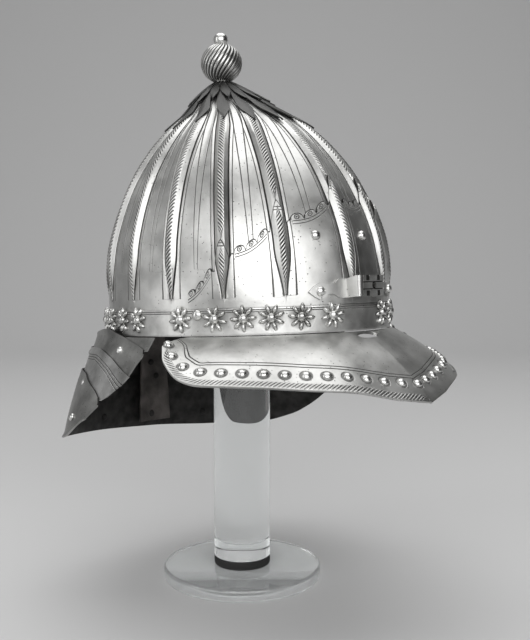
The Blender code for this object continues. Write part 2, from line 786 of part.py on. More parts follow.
def make_stand(collection, clear, black):
    """Disc, pad and round-topped column on one axis."""
    rounding = BASE_ROUNDING
    profile = [(0.0, BASE_THICKNESS)]
    for i in range(4):
        turn = math.radians(90.0 - 30.0 * i)
        profile.append((
            BASE_RADIUS - rounding + rounding * math.cos(turn),
            BASE_THICKNESS - rounding + rounding * math.sin(turn),
        ))
    profile += [(BASE_RADIUS, 1.0 * MM), (BASE_RADIUS - 1.0 * MM, 0.0), (0.0, 0.0)]
    turned_object("stand_base", profile, 40, collection, clear)

    pad_low = BASE_THICKNESS + GAP
    pad_high = pad_low + PAD_THICKNESS
    profile = [(0.0, pad_high), (PAD_RADIUS, pad_high), (PAD_RADIUS, pad_low), (0.0, pad_low)]
    turned_object("stand_pad", profile, 24, collection, black)

    column_low = pad_high + GAP
    profile = []
    for i in range(6):
        turn = math.radians(90.0 - 18.0 * i)
        profile.append((
            max(0.0, COLUMN_RADIUS * math.cos(turn)),
            COLUMN_TOP - COLUMN_DOME + COLUMN_DOME * math.sin(turn),
        ))
    profile += [(COLUMN_RADIUS, column_low), (0.0, column_low)]
    turned_object("stand_column", profile, 24, collection, clear)


def main():
    clear_scene()
    parts = new_collection("Lobster-tail pot helmet")
    cutters = new_collection("Cutters")

    steel = new_material("bright steel", (0.60, 0.61, 0.62), 0.32, 1.0)
    dark_steel = new_material("dark steel", (0.22, 0.22, 0.23), 0.42, 1.0)
    clear = new_material("clear acrylic", (0.93, 0.95, 0.95), 0.05, 0.0, 0.35)
    black = new_material("black felt", (0.02, 0.02, 0.02), 0.80, 0.0)
    leather = new_material("dark leather", (0.06, 0.045, 0.035), 0.75, 0.0)

    frame = bpy.data.objects.new("helmet_frame", None)
    parts.objects.link(frame)
    frame.location = (HELMET_SHIFT_X, HELMET_SHIFT_Y, STAR_LINE_HEIGHT)
    frame.rotation_mode = "YXZ"
    frame.rotation_euler = (-HELMET_PITCH, HELMET_ROLL, 0.0)

    make_stand(parts, clear, black)
    make_skull(parts, steel, frame)
    make_band(parts, steel, frame)
    make_brow_plate(parts, steel, frame)
    make_rosettes(parts, steel, frame)
    make_peak(parts, cutters, dark_steel, frame)
    make_bracket(parts, cutters, steel, frame)

    on_plate = PLATE_CLEARANCE + PLATE_THICKNESS
    on_ear = on_plate + BRACKET_CLEARANCE + BRACKET_THICKNESS
    for name, angle in (("bracket_rivet_right", BRACKET_RIVET_RIGHT),
                        ("bracket_rivet_left", BRACKET_RIVET_LEFT)):
        place = skull_point(angle, BRACKET_RIVET_RISE, on_ear)
        outward = outward_at(angle, BRACKET_RIVET_RISE)
        make_rivet(name, place, outward, RIVET_RADIUS, parts, steel, frame)
    for name, angle in (("brow_rivet_right", BROW_RIVET_ANGLE),
                        ("brow_rivet_centre", CENTRE_RIVET_ANGLE)):
        place = ridged_point((angle, 0.0, 1.0), BROW_RIVET_RISE, on_plate)
        outward = outward_at(angle, BROW_RIVET_RISE)
        make_rivet(name, place, outward, RIVET_RADIUS, parts, steel, frame)
    place = skull_point(BAND_RIVET_ANGLE, BAND_RIVET_RISE, GAP + BAND_THICKNESS)
    outward = outward_at(BAND_RIVET_ANGLE, BAND_RIVET_RISE)
    make_rivet("band_rivet", place, outward, BAND_RIVET_RADIUS, parts, steel, frame)

    leaf_step = LEAF_CLEARANCE + LEAF_THICKNESS
    make_leaves("leaf_rosette_lower", LOWER_LEAF_DROP, leaf_step, LEAF_PHASE,
                parts, dark_steel, frame)
    make_leaves("leaf_rosette_upper", UPPER_LEAF_DROP, 2.0 * leaf_step,
                LEAF_PHASE + 180.0 / LEAF_COUNT, parts, dark_steel, frame)
    make_finial(parts, steel, frame)

    for index in range(len(LAMES)):
        make_lame(index, parts, dark_steel, frame)
    make_strap(parts, leather, frame)

    for cutter in cutters.objects:
        cutter.hide_render = True
        cutter.display_type = "WIRE"


main()
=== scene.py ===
import math

import bpy
import numpy as np
from mathutils import Euler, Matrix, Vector


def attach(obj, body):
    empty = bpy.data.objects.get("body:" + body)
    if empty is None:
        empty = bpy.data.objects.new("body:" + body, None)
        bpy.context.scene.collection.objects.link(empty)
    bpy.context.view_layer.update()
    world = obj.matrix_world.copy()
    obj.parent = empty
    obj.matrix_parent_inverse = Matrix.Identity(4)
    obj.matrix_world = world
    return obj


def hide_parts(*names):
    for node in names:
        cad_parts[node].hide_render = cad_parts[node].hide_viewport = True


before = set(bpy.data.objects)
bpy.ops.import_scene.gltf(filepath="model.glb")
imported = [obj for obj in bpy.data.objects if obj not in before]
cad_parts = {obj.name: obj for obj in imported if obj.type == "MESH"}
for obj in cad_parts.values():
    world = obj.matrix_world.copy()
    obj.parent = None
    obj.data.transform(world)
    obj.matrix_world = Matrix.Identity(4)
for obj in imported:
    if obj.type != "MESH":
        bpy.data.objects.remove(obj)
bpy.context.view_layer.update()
print("frame loaded:", len(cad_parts), "nodes")

# All helmet shapes are worked out in millimetres in the helmet's own frame
# (front -Y, wearer's left +X, star line at height 0) and then put on the stand
mm = 0.001
helmet = {
    "starLine": 207.6,
    "shift": (1.4, -1.4),
    "pitch": 4.3,
    "roll": 1.45,
}
lean = Euler((-math.radians(helmet["pitch"]), math.radians(helmet["roll"]), 0.0), "YXZ")
helmetTurn = np.array(lean.to_matrix())
helmetOffset = np.array((*helmet["shift"], helmet["starLine"]))


# Small helpers for modelling

def deselectAll():
    if bpy.context.object is not None and bpy.context.object.mode != "OBJECT":
        bpy.ops.object.mode_set(mode="OBJECT")
    bpy.ops.object.select_all(action="DESELECT")


def pick(*items):
    deselectAll()
    for item in items:
        item.select_set(True)
    bpy.context.view_layer.objects.active = items[0]


def named(name):
    made = bpy.context.object
    made.name = name
    made.data.name = name
    return made


def pointsOf(item):
    points = np.zeros(len(item.data.vertices) * 3)
    item.data.vertices.foreach_get("co", points)
    return points.reshape(-1, 3)


def movePoints(item, points):
    item.data.vertices.foreach_set("co", np.asarray(points, float).ravel())
    item.data.update()


def onHelmet(points):
    return (np.asarray(points, float) @ helmetTurn.T + helmetOffset) * mm


def applyAll(item):
    pick(item)
    for modifier in list(item.modifiers):
        bpy.ops.object.modifier_apply(modifier=modifier.name)


def editMesh(item, *steps):
    # Mesh operators run in edit mode, each given as its name and settings
    pick(item)
    bpy.ops.object.mode_set(mode="EDIT")
    for step, settings in steps:
        getattr(bpy.ops.mesh, step)(**settings)
    bpy.ops.object.mode_set(mode="OBJECT")


def editAll(item, step, **settings):
    editMesh(item, ("select_all", {"action": "SELECT"}), (step, settings))


def smoothBy(item, degrees):
    pick(item)
    bpy.ops.object.shade_smooth_by_angle(angle=math.radians(degrees))


def joined(name, pieces):
    pick(*pieces)
    if len(pieces) > 1:
        bpy.ops.object.join()
    return named(name)


def sheet(name, grid, fields=None, around=False):
    # A plane grid whose points take the places of a rows x columns array in millimetres
    rows, columns = grid.shape[0] - 1, grid.shape[1] - 1
    deselectAll()
    bpy.ops.mesh.primitive_grid_add(x_subdivisions=columns, y_subdivisions=rows, size=1.0)
    made = named(name)
    flat = pointsOf(made)
    column = np.rint((flat[:, 0] + 0.5) * columns).astype(int)
    row = np.rint((flat[:, 1] + 0.5) * rows).astype(int)
    movePoints(made, grid[row, column] * mm)
    for label, values in (fields or {}).items():
        layer = made.data.attributes.new(label, "FLOAT", "POINT")
        layer.data.foreach_set("value", values[row, column].astype(np.float32))
    if around:
        editAll(made, "remove_doubles", threshold=0.01 * mm)
    return made


def faceAwayFrom(item, centre):
    # Turns an open sheet so that its faces look away from a point in millimetres
    centre = Vector(centre) * mm
    if sum(f.normal.dot(f.center - centre) * f.area for f in item.data.polygons) < 0.0:
        editAll(item, "flip_normals")


def faceUp(item):
    if sum(f.normal.z * f.area for f in item.data.polygons) < 0.0:
        editAll(item, "flip_normals")


def unit(vectors):
    # Vectors along the last axis brought to length one
    return vectors / np.linalg.norm(vectors, axis=-1, keepdims=True)


def nearest(points, places):
    # How far each point of a grid is from the closest of some places
    return np.array([np.sqrt(((row[:, None] - places[None]) ** 2).sum(axis=2).min(axis=1))
                     for row in points])


def wrapTurn(angle):
    return (angle + 180.0) % 360.0 - 180.0


def evenSteps(line, values, count):
    # Of the values along a line of points, those that part it into equal lengths
    length = np.linalg.norm(np.diff(line, axis=0), axis=1)
    length = np.concatenate(([0.0], np.cumsum(length)))
    return np.interp(np.linspace(0.0, length[-1], count), length, values)


def bevelled(item, width, **settings):
    bevel = item.modifiers.new("Edge", "BEVEL")
    bevel.width = width * mm
    bevel.segments = 2
    for name, value in settings.items():
        setattr(bevel, name, value)
    applyAll(item)


def thicken(item, thickness, edge=0.0):
    wall = item.modifiers.new("Wall", "SOLIDIFY")
    wall.thickness = thickness * mm
    wall.offset = -1.0
    wall.use_even_offset = True
    applyAll(item)
    editAll(item, "normals_make_consistent", inside=False)
    if edge:
        bevelled(item, edge, limit_method="ANGLE", angle_limit=math.radians(50))


def finishPiece(item, material, nodes=(), onStand=False, angle=35.0):
    # Puts a finished piece in place, gives its finish and ties it to the frame
    if not onStand:
        movePoints(item, onHelmet(pointsOf(item) / mm))
    item.data.materials.clear()
    item.data.materials.append(material)
    smoothBy(item, angle)
    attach(item, "root")
    if nodes:
        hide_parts(*nodes)
    return item


def curveThrough(x, xs, ys):
    # Smooth curve through a short table that never overshoots between its rows
    xs = np.asarray(xs, float)
    ys = np.asarray(ys, float)
    step = np.diff(xs)
    slope = np.diff(ys) / step
    tangent = np.zeros(len(xs))
    tangent[0], tangent[-1] = slope[0], slope[-1]
    both = slope[:-1] * slope[1:] > 0.0
    total = np.where(both, slope[:-1] + slope[1:], 1.0)
    tangent[1:-1] = np.where(both, 2.0 * slope[:-1] * slope[1:] / total, 0.0)
    x = np.clip(x, xs[0], xs[-1])
    k = np.clip(np.searchsorted(xs, x, side="right") - 1, 0, len(xs) - 2)
    t = (x - xs[k]) / step[k]
    a = (1.0 + 2.0 * t) * (1.0 - t) ** 2
    b = t * (1.0 - t) ** 2
    c = t * t * (3.0 - 2.0 * t)
    d = t * t * (t - 1.0)
    return a * ys[k] + b * step[k] * tangent[k] + c * ys[k + 1] + d * step[k] * tangent[k + 1]


def easeIn(x, low, high):
    t = np.clip((np.asarray(x, float) - low) / (high - low), 0.0, 1.0)
    return t * t * (3.0 - 2.0 * t)


# Skull: the bowl and its sixteen hammered ridges

farAway = 30.0  # a distance at which no cut line is drawn

skull = {
    "halfLength": 116.4,
    "halfWidth": 97.0,
    "height": 177.0,
    "drop": 10.0,
    "wall": 2.0,
    "apexSweep": 16.0,
    "ridgeHeight": 4.0,
    "hollow": 0.8,
    "rows": 84,
    "panelSteps": 6,
    # height, girth, sweep and how far the ridges stand, as shares
    "sections": np.array((
        (-0.060, 1.000, -0.08, 0.00),
        (0.060, 1.000, -0.08, 0.00),
        (0.170, 0.993, -0.08, 0.70),
        (0.280, 0.970, -0.08, 0.95),
        (0.380, 0.925, -0.08, 1.00),
        (0.480, 0.862, -0.08, 1.00),
        (0.580, 0.780, -0.08, 0.95),
        (0.680, 0.668, -0.05, 0.85),
        (0.770, 0.540, 0.00, 0.65),
        (0.850, 0.388, 0.20, 0.30),
        (0.915, 0.253, 0.60, 0.10),
        (0.965, 0.125, 0.85, 0.00),
        (1.000, 0.000, 1.00, 0.00),
    )),
    # degrees from the front towards the wearer's right
    "ridges": (
        5.0, 33.5, 55.5, 76.5, 96.5, 117.0, 138.5, 160.5,
        182.5, 205.0, 228.0, 251.0, 274.0, 297.0, 320.0, 342.5,
    ),
    # distance from a ridge's crest in mm and its relief there as a share
    "ridgeSteps": (0.0, 1.2, 2.4, 3.4, 4.4, 5.3, 6.6, 8.0),
    "ridgeRelief": (0.80, 0.80, 0.78, 0.52, 0.20, 0.0, 0.07, 0.0),
    # the ridges run out in a point between these heights
    "taper": (12.0, 46.0),
    "linesFrom": 34.0,
}


def skullShare(height, column):
    table = skull["sections"]
    return curveThrough(height / skull["height"], table[:, 0], table[:, column])


def mmPerDegree(angle, height):
    girth = skullShare(height, 1)
    turned = np.radians(angle)
    along = skull["halfLength"] * np.sin(turned)
    across = skull["halfWidth"] * np.cos(turned)
    return np.maximum(girth * np.hypot(along, across) * math.pi / 180.0, 0.01)


def skullSurface(angle, height, standOff=0.0):
    # Outside of the bowl; a stand-off goes square to its profile
    angle, height = np.broadcast_arrays(np.asarray(angle, float), np.asarray(height, float))
    tall = skull["height"]
    mean = (skull["halfLength"] + skull["halfWidth"]) / 2.0
    flat = (skull["halfLength"] - skull["halfWidth"]) / (2.0 * mean)
    oval = flat * (1.0 - np.clip(height / tall, 0.0, 1.0) ** 2)
    girth = skullShare(height, 1) * mean
    span = 0.02 * tall
    below = skullShare(np.minimum(height, tall - span) - span, 1)
    above = skullShare(np.minimum(height, tall - span) + span, 1)
    slant = np.arctan((below - above) * mean / (2.0 * span))
    turned = np.radians(angle)
    out = standOff * np.cos(slant)
    x = -(girth * (1.0 - oval) + out) * np.sin(turned)
    y = -(girth * (1.0 + oval) + out) * np.cos(turned)
    y = y + skullShare(height, 2) * skull["apexSweep"]
    z = height + standOff * np.sin(slant)
    return np.stack((x, y, z), axis=-1)


def ridgeCell(i, heights, panelSteps):
    # Angles, relief and distances for the columns from ridge i to the next;
    # heights is a rows x columns array
    ridges = skull["ridges"]
    first, following = ridges[i], ridges[(i + 1) % len(ridges)]
    if following < first:
        following += 360.0
    steps = np.array(skull["ridgeSteps"])
    relief = np.array(skull["ridgeRelief"])
    count = len(steps)
    strength = skullShare(heights, 3)
    width = 0.12 + 0.88 * easeIn(heights, *skull["taper"])
    mean = (mmPerDegree(first, heights) + mmPerDegree(following, heights)) / 2.0
    half = (following - first) / 2.0 * mean
    squeeze = np.minimum(1.0, half / 11.0)

    def offset(step):
        narrow = np.where(step <= 5.4, width, np.where(step <= 7.0, (1.0 + width) / 2.0, 1.0))
        return step * narrow * squeeze

    angles, lift, fromRidge, fromMiddle = (np.zeros_like(heights) for _ in range(4))
    last = heights.shape[1] - 1
    leftEdge = first + offset(steps[-1]) / mmPerDegree(first, heights)
    rightEdge = following - offset(steps[-1]) / mmPerDegree(following, heights)
    panelWidth = (rightEdge - leftEdge) * mean
    for j in range(last + 1):
        if j < count:
            k, side = j, 1.0
        elif j > last - count:
            k, side = last - j, -1.0
        else:
            t = (j - count + 1) / (panelSteps + 1)
            angles[:, j] = leftEdge[:, j] + t * (rightEdge[:, j] - leftEdge[:, j])
            lift[:, j] = -skull["hollow"] * math.sin(math.pi * t) * strength[:, j]
            fromRidge[:, j] = steps[-1] + panelWidth[:, j] * min(t, 1.0 - t)
            fromMiddle[:, j] = panelWidth[:, j] * (t - 0.5)
            continue
        start = first if side > 0.0 else following
        angles[:, j] = start + side * offset(steps[k])[:, j] / mmPerDegree(start, heights[:, j])
        lift[:, j] = relief[k] * skull["ridgeHeight"] * strength[:, j]
        fromRidge[:, j] = steps[k]
        fromMiddle[:, j] = -side * (panelWidth[:, j] / 2.0 + steps[-1] - steps[k])
    return angles, lift, fromRidge, fromMiddle


def panelLines(fromMiddle, height):
    # Two fine lines down each panel, at -1 and 1, that close towards the foot; 9 is clear of both
    share = np.clip(height / skull["height"], 0.0, 1.0)
    return np.where(height < skull["linesFrom"], 9.0, fromMiddle / (0.6 + 3.4 * share))


def makeSkull(material):
    heights = np.linspace(-skull["drop"], 0.994 * skull["height"], skull["rows"] + 1)
    perCell = 2 * len(skull["ridgeSteps"]) + skull["panelSteps"]
    level = np.repeat(heights[:, None], perCell, axis=1)
    cells = []
    for i in range(len(skull["ridges"])):
        angles, lift, fromRidge, fromMiddle = ridgeCell(i, level, skull["panelSteps"])
        fromRidge = np.where(level < skull["taper"][0] + 1.0, farAway, fromRidge)
        cells.append((skullSurface(angles, level, lift), fromRidge, panelLines(fromMiddle, level)))
    grid, fromRidge, line = (
        np.concatenate([part[:, :-1] for part in parts] + [parts[0][:, :1]], axis=1)
        for parts in zip(*cells))
    bowl = sheet("skullBowl", grid, {"fromRidge": fromRidge, "panelLine": line}, around=True)
    # The small opening at the top is filled with one face
    editMesh(bowl, ("select_all", {"action": "DESELECT"}))
    top = grid[-1, :, 2].min() * mm - 0.0001
    for edge in bowl.data.edges:
        edge.select = all(bowl.data.vertices[v].co.z > top for v in edge.vertices)
    editMesh(bowl, ("select_mode", {"type": "EDGE"}), ("edge_face_add", {}),
             ("select_mode", {"type": "VERT"}))
    faceAwayFrom(bowl, (0.0, 0.0, 60.0))
    thicken(bowl, skull["wall"])
    return finishPiece(bowl, material, ["skull"])


# Rope cut along the crest of a ridge: short slanting strokes
rope = {
    "halfWidth": 2.5,
    "pitch": 2.8,
    "rowsPerPitch": 4,
    "columns": 6,
    "slant": 42.0,
    "groove": 0.75,
    "bulge": 0.40,
    "sunk": 0.35,
    "low": 13.0,
    "high": 158.0,
}


def ropeAlong(name, path, side, out, hand, tapers, width=None, crown=0.0):
    # A skewed strip of strokes along a path with unit vectors across it and out of it
    half = width or rope["halfWidth"]
    length = np.concatenate(([0.0], np.cumsum(np.linalg.norm(np.diff(path, axis=0), axis=1))))
    step = rope["pitch"] / rope["rowsPerPitch"]
    rows = int(length[-1] / step)
    across = np.linspace(-1.0, 1.0, rope["columns"] + 1)
    shear = half / math.tan(math.radians(rope["slant"]))
    along = (np.arange(rows + 1) * step)[:, None] + hand * across[None, :] * shear
    along = np.clip(along, 0.0, length[-1])
    wide = np.minimum(easeIn(along, 0.0, tapers[0]), easeIn(length[-1] - along, 0.0, tapers[1]))
    wide = 0.06 + 0.94 * wide
    cut = np.arange(rows + 1) % rope["rowsPerPitch"]
    groove = np.where(cut == 0, 1.0, np.where(cut == 2, 0.0, 0.35))[:, None]
    edge = 1.0 - across[None, :] ** 4
    lift = rope["bulge"] * edge - rope["groove"] * groove * edge * wide
    lift = lift - rope["sunk"] * (1.0 - edge) - crown * across[None, :] ** 2

    def sample(values):
        return np.stack([np.interp(along, length, values[:, k]) for k in range(3)], axis=-1)

    grid = sample(path) + sample(side) * (across[None, :] * half * wide)[..., None]
    grid = grid + sample(out) * lift[..., None]
    # The groove value marks where the material paints shade into each stroke
    return sheet(name, grid, {"groove": groove * edge})


def ridgeRope(angle, low, high, hand, standOff, tapers):
    level = np.linspace(low, high, 400)
    crest = skull["ridgeHeight"] * skullShare(level, 3)
    path = skullSurface(angle, level, standOff + crest)
    side = unit(skullSurface(angle + 0.5, level, standOff) - skullSurface(angle - 0.5, level, standOff))
    out = unit(np.cross(side, np.gradient(path, axis=0)))
    out = out * np.where((out[:, :2] * path[:, :2]).sum(axis=1) < 0.0, -1.0, 1.0)[:, None]
    return ropeAlong("strip", path, side, out, hand, tapers, crown=0.5)


def makeRidgeRopes(material):
    strips = []
    for i, angle in enumerate(skull["ridges"]):
        hand = 1.0 if i % 2 == 0 else -1.0
        low = plateTop(angle) or rope["low"]
        strips.append(ridgeRope(angle, low, rope["high"], hand, 0.0, (14.0, 6.0)))
    ropes = joined("ridgeRopes", strips)
    faceAwayFrom(ropes, (0.0, 0.0, 60.0))
    return finishPiece(ropes, material, angle=60.0)


# Brow plate: a second thickness over the front, with scallops and leaf tongues

browPlate = {
    "halfAngle": 75.5,
    "foot": 7.3,
    "standOff": 1.9,
    "thickness": 1.5,
    "rows": 16,
    "scallops": 3,
    "scallopHeight": 5.2,
    "stepsPerScallop": 8,
    "sag": 2.6,
    "tongueWidth": 5.6,
    "ridgeMargin": 5.0,
    "border": (
        (0.00, 0.40), (0.08, 0.43), (0.22, 0.42), (0.37, 0.385), (0.46, 0.36),
        (0.57, 0.33), (0.73, 0.25), (0.86, 0.20), (1.00, 0.075),
    ),
    "tongues": ((0.15, 0.105), (0.525, 0.09), (0.80, 0.075)),
}
browPlate["middle"] = (skull["ridges"][0] + skull["ridges"][-1] - 360.0) / 2.0


def plateShare(turned, name):
    table = np.array(browPlate[name])
    share = np.abs(turned) / browPlate["halfAngle"]
    return np.interp(share, table[:, 0], table[:, 1]) * skull["height"]


def borderHeight(turned):
    return plateShare(turned, "border")


def tongueRise(turned):
    return plateShare(turned, "tongues")


def plateTop(angle):
    # Height of a tongue's tip on a ridge, or None where the plate doesn't reach
    turned = wrapTurn(angle - browPlate["middle"])
    if abs(turned) > browPlate["halfAngle"] - 1.0:
        return None
    return float(borderHeight(turned) + tongueRise(turned))


def makeBrowPlate(material):
    look = browPlate
    half, scallops, margin = look["halfAngle"], look["scallops"], look["ridgeMargin"]
    steps = np.array(skull["ridgeSteps"])
    count = len(steps)
    panelSteps = scallops * look["stepsPerScallop"] - 1
    perCell = 2 * count + panelSteps
    share = np.linspace(0.0, 1.0, look["rows"] + 1)[:, None]
    turns = [wrapTurn(ridge - look["middle"]) for ridge in skull["ridges"]]
    ends = {i: (turns[i], turns[(i + 1) % len(turns)]) for i in range(len(turns))}
    order = sorted((i for i in ends if min(abs(ends[i][0]), abs(ends[i][1])) < half - 1.0),
                   key=lambda i: turns[i])
    cells = []
    for i in order:
        first, following = ends[i]
        startOpen, endOpen = first < -half, following > half
        low = borderHeight(max(first, -half) + margin * (not startOpen))
        high = borderHeight(min(following, half) - margin * (not endOpen))
        top, base = np.zeros(perCell), np.zeros(perCell)
        ringX = np.full(perCell, 9.0)
        for j in range(perCell):
            if count <= j < perCell - count:
                t = (j - count + 1) / (panelSteps + 1)
                ringX[j] = (t * scallops) % 1.0
                bump = math.sqrt(max(0.0, 1.0 - (2.0 * ringX[j] - 1.0) ** 2))
                base[j] = low + t * (high - low) - look["sag"] * math.sin(math.pi * t)
                top[j] = base[j] + 0.8 + (look["scallopHeight"] - 0.8) * bump
                continue
            near, away = (first, steps[j]) if j < count else (following, steps[perCell - 1 - j])
            shape = max(0.0, 1.0 - (away / look["tongueWidth"]) ** 1.4)
            base[j] = borderHeight(near) + 12.0
            top[j] = borderHeight(near) + 1.0 + tongueRise(near) * shape
        if not startOpen:
            top[count - 2:count] = low + 0.8
        if not endOpen:
            top[perCell - count:perCell - count + 2] = high + 0.8
        heights = look["foot"] + share * (top[None, :] - look["foot"])
        angles, lift, fromRidge, _ = ridgeCell(i, heights, panelSteps)
        chosen = slice(0, perCell if endOpen or i == order[-1] else perCell - 1)
        if startOpen or endOpen:
            # The last cell is cut short where the plate ends
            turned = wrapTurn(angles - look["middle"])
            middle = turned[:, count:perCell - count]
            part = (np.arange(panelSteps) + 1.0)[None, :] / (panelSteps + 1.0)
            if startOpen:
                middle[:] = -half + part * (turned[:, perCell - count] + half)[:, None]
                chosen = slice(count, chosen.stop)
            else:
                near = turned[:, count - 1]
                middle[:] = near[:, None] + part * (half - near)[:, None]
                chosen = slice(0, perCell - count)
            angles = turned + look["middle"]
            fromRidge[:, count:perCell - count] = farAway
        fromRidge = np.where(heights < skull["taper"][0] + 1.0, farAway, fromRidge)
        under = heights - base[None, :]
        parts = (skullSurface(angles, heights, look["standOff"] + lift), fromRidge, under,
                 top[None, :] - heights, ringX[None, :] + 0.0 * heights)
        cells.append([part[:, chosen] for part in parts])
    grid, *values = (np.concatenate(parts, axis=1) for parts in zip(*cells))
    # underTop also marks the top edge for its painted shadow line
    fields = dict(zip(("fromRidge", "underBorder", "underTop", "ringX"), values))
    plate = sheet("browPlateShell", grid, fields)
    faceAwayFrom(plate, (0.0, 0.0, 40.0))
    thicken(plate, look["thickness"])
    return finishPiece(plate, material, ["brow_plate"])


def makePlateRopes(material):
    strips = []
    for i, angle in enumerate(skull["ridges"]):
        tip = plateTop(angle)
        if tip is None:
            continue
        hand = 1.0 if i % 2 == 0 else -1.0
        strips.append(ridgeRope(angle, 14.0, tip - 3.0, hand, browPlate["standOff"], (26.0, 10.0)))
    ropes = joined("plateRopes", strips)
    faceAwayFrom(ropes, (0.0, 0.0, 60.0))
    return finishPiece(ropes, material, angle=60.0)


# Brow band

band = {
    "top": 7.0,
    "height": 18.5,
    "standOff": 1.8,
    "thickness": 1.5,
    "around": 240,
    "rows": 12,
}


def makeBand(material):
    height = (band["top"] - band["height"] * np.linspace(1.0, 0.0, band["rows"] + 1))[:, None]
    angle = np.linspace(0.0, 360.0, band["around"] + 1)[None, :]
    wave = 0.1 * np.sin(np.radians(angle * 7.0))
    grid = skullSurface(angle + 0.0 * height, height + 0.0 * angle, band["standOff"] + wave + 0.0 * height)
    centres = skullSurface(np.array(rosette["angles"]), 0.0, band["standOff"])
    # fromStar marks the band round each rosette for the painted shade there
    fields = {"bandHeight": height + 0.0 * angle, "fromStar": nearest(grid, centres)}
    ring = sheet("browBandRing", grid, fields, around=True)
    faceAwayFrom(ring, (0.0, 0.0, 0.0))
    thicken(ring, band["thickness"], edge=0.3)
    return finishPiece(ring, material, ["base_band"])


# Rosettes: eight slim rays round a ball

rosette = {
    "rays": 8,
    "radius": 9.5,
    "rayHalfLength": 3.5,
    "rayHalfWidth": 1.75,
    "rayHeight": 2.3,
    "boss": 3.7,
    "bossHeight": 3.6,
    "angles": (
        15.0, 27.8, 38.9, 48.9, 59.2, 72.4, 93.0, 103.3, 114.5, 125.5, 136.5,
        147.5, 158.5, 169.5, 180.5, 191.5, 202.5, 213.5, 224.5, 235.5, 246.5,
        257.5, 268.5, 279.5, 290.0, 300.5, 311.0, 321.0, 332.0, 345.0,
    ),
    "turns": (12.0, -5.0, 20.0, 3.0, -14.0, 8.0),
}


def outwardFrame(angle, height):
    # Rotation whose Z looks straight out of the skull and whose Y runs up it
    here = skullSurface(angle, height)
    side = skullSurface(angle + 0.5, height) - skullSurface(angle - 0.5, height)
    up = unit(skullSurface(angle, height + 0.5) - skullSurface(angle, height - 0.5))
    out = unit(np.cross(side, up))
    if np.dot(out[:2], here[:2]) < 0.0:
        out = -out
    return np.stack((np.cross(up, out), up, out), axis=1)


def flatBacked(item, *steps):
    # Cuts a ball or ray off just under its middle, and then does the other steps
    cut = {"plane_co": (0, 0, -0.2 * mm), "plane_no": (0, 0, 1), "clear_inner": True, "use_fill": True}
    editMesh(item, ("select_all", {"action": "SELECT"}), ("bisect", cut), *steps)


def makeRosettes(material):
    look = rosette
    deselectAll()
    bpy.ops.mesh.primitive_uv_sphere_add(segments=10, ring_count=7, radius=1.0)
    ray = named("ray")
    x, y, z = pointsOf(ray).T
    taper = 1.0 - 0.35 * (x < 0) * np.abs(x)
    movePoints(ray, mm * np.stack((
        x * look["rayHalfLength"] + look["radius"] - look["rayHalfLength"],
        y * look["rayHalfWidth"] * taper,
        np.sign(z) * np.abs(z) ** 1.3 * look["rayHeight"],
    ), axis=1))
    flatBacked(ray, ("select_all", {"action": "SELECT"}), ("spin", {
        "steps": look["rays"] - 1, "dupli": True, "angle": 2.0 * math.pi * (1.0 - 1.0 / look["rays"]),
        "center": (0, 0, 0), "axis": (0, 0, 1),
    }))
    deselectAll()
    bpy.ops.mesh.primitive_uv_sphere_add(segments=18, ring_count=11, radius=1.0)
    boss = named("boss")
    movePoints(boss, pointsOf(boss) * np.array((look["boss"], look["boss"], look["bossHeight"])) * mm)
    flatBacked(boss)
    star = joined("star", [ray, boss])
    editAll(star, "normals_make_consistent", inside=False)
    home = pointsOf(star) / mm
    for i, angle in enumerate(look["angles"]):
        pick(star)
        bpy.ops.object.duplicate()
        copy = named("starRosette_%02d" % (i + 1))
        spin = math.radians(look["turns"][i % len(look["turns"])])
        own = np.array(((math.cos(spin), -math.sin(spin), 0),
                        (math.sin(spin), math.cos(spin), 0), (0, 0, 1)))
        spot = skullSurface(angle, 0.0, band["standOff"] + 0.1)
        movePoints(copy, (home @ own.T @ outwardFrame(angle, 0.0).T + spot) * mm)
        finishPiece(copy, material, ["rosette_%02d" % (i + 1)], angle=50.0)
    bpy.data.objects.remove(star, do_unlink=True)


# Peak: a broad brim with a roped edge, a row of rivets and a slot for the nasal bar

peak = {
    "thickness": 1.8,
    "reach": 177.0,
    "halfWidth": 131.0,
    "drop": 58.0,
    "baseAngle": 68.0,
    "rootHeight": -11.8,
    "crown": 0.10,
    "columns": 340,
    "rows": 46,
    "corner": 0.16,
    "rivetAcross": 0.80,
    "rivetEnd": 0.955,
    "rivetLast": 0.993,
    "rivets": 27,
    "rivetHead": (3.3, 2.3),
    "ropeFrom": {-1.0: 0.36, 1.0: 0.008},
    "ropeInset": 3.2,
    "ropeWidth": 3.1,
    "lineInset": ((0.82, 0.93), (0.73, 1.0)),
    "slot": (21.0, 7.5, 6.0),
    # share of the way round, then reach, width and drop as shares
    "edge": np.array((
        (0.00, 1.000, 0.000, 1.00), (0.16, 0.955, 0.200, 0.93), (0.34, 0.885, 0.430, 0.81),
        (0.48, 0.790, 0.600, 0.77), (0.61, 0.680, 0.745, 0.73), (0.73, 0.580, 0.880, 0.70),
        (0.83, 0.500, 0.965, 0.68), (0.90, 0.420, 1.000, 0.60), (0.96, 0.345, 0.985, 0.44),
        (1.00, 0.285, 0.925, 0.27),
    )),
}


def peakEdge(share):
    size = np.abs(share)
    table = peak["edge"]
    values = []
    for column, full in ((1, peak["reach"]), (2, peak["halfWidth"]), (3, peak["drop"])):
        smooth = curveThrough(size, table[1:, 0], table[1:, column])
        straight = np.interp(size, table[:, 0], table[:, column])
        values.append(np.where(size <= peak["corner"], straight, smooth) * full)
    side = np.where(share > 0.0, -1.0, 1.0)
    return np.stack((side * values[1], -values[0], -values[2]), axis=-1)


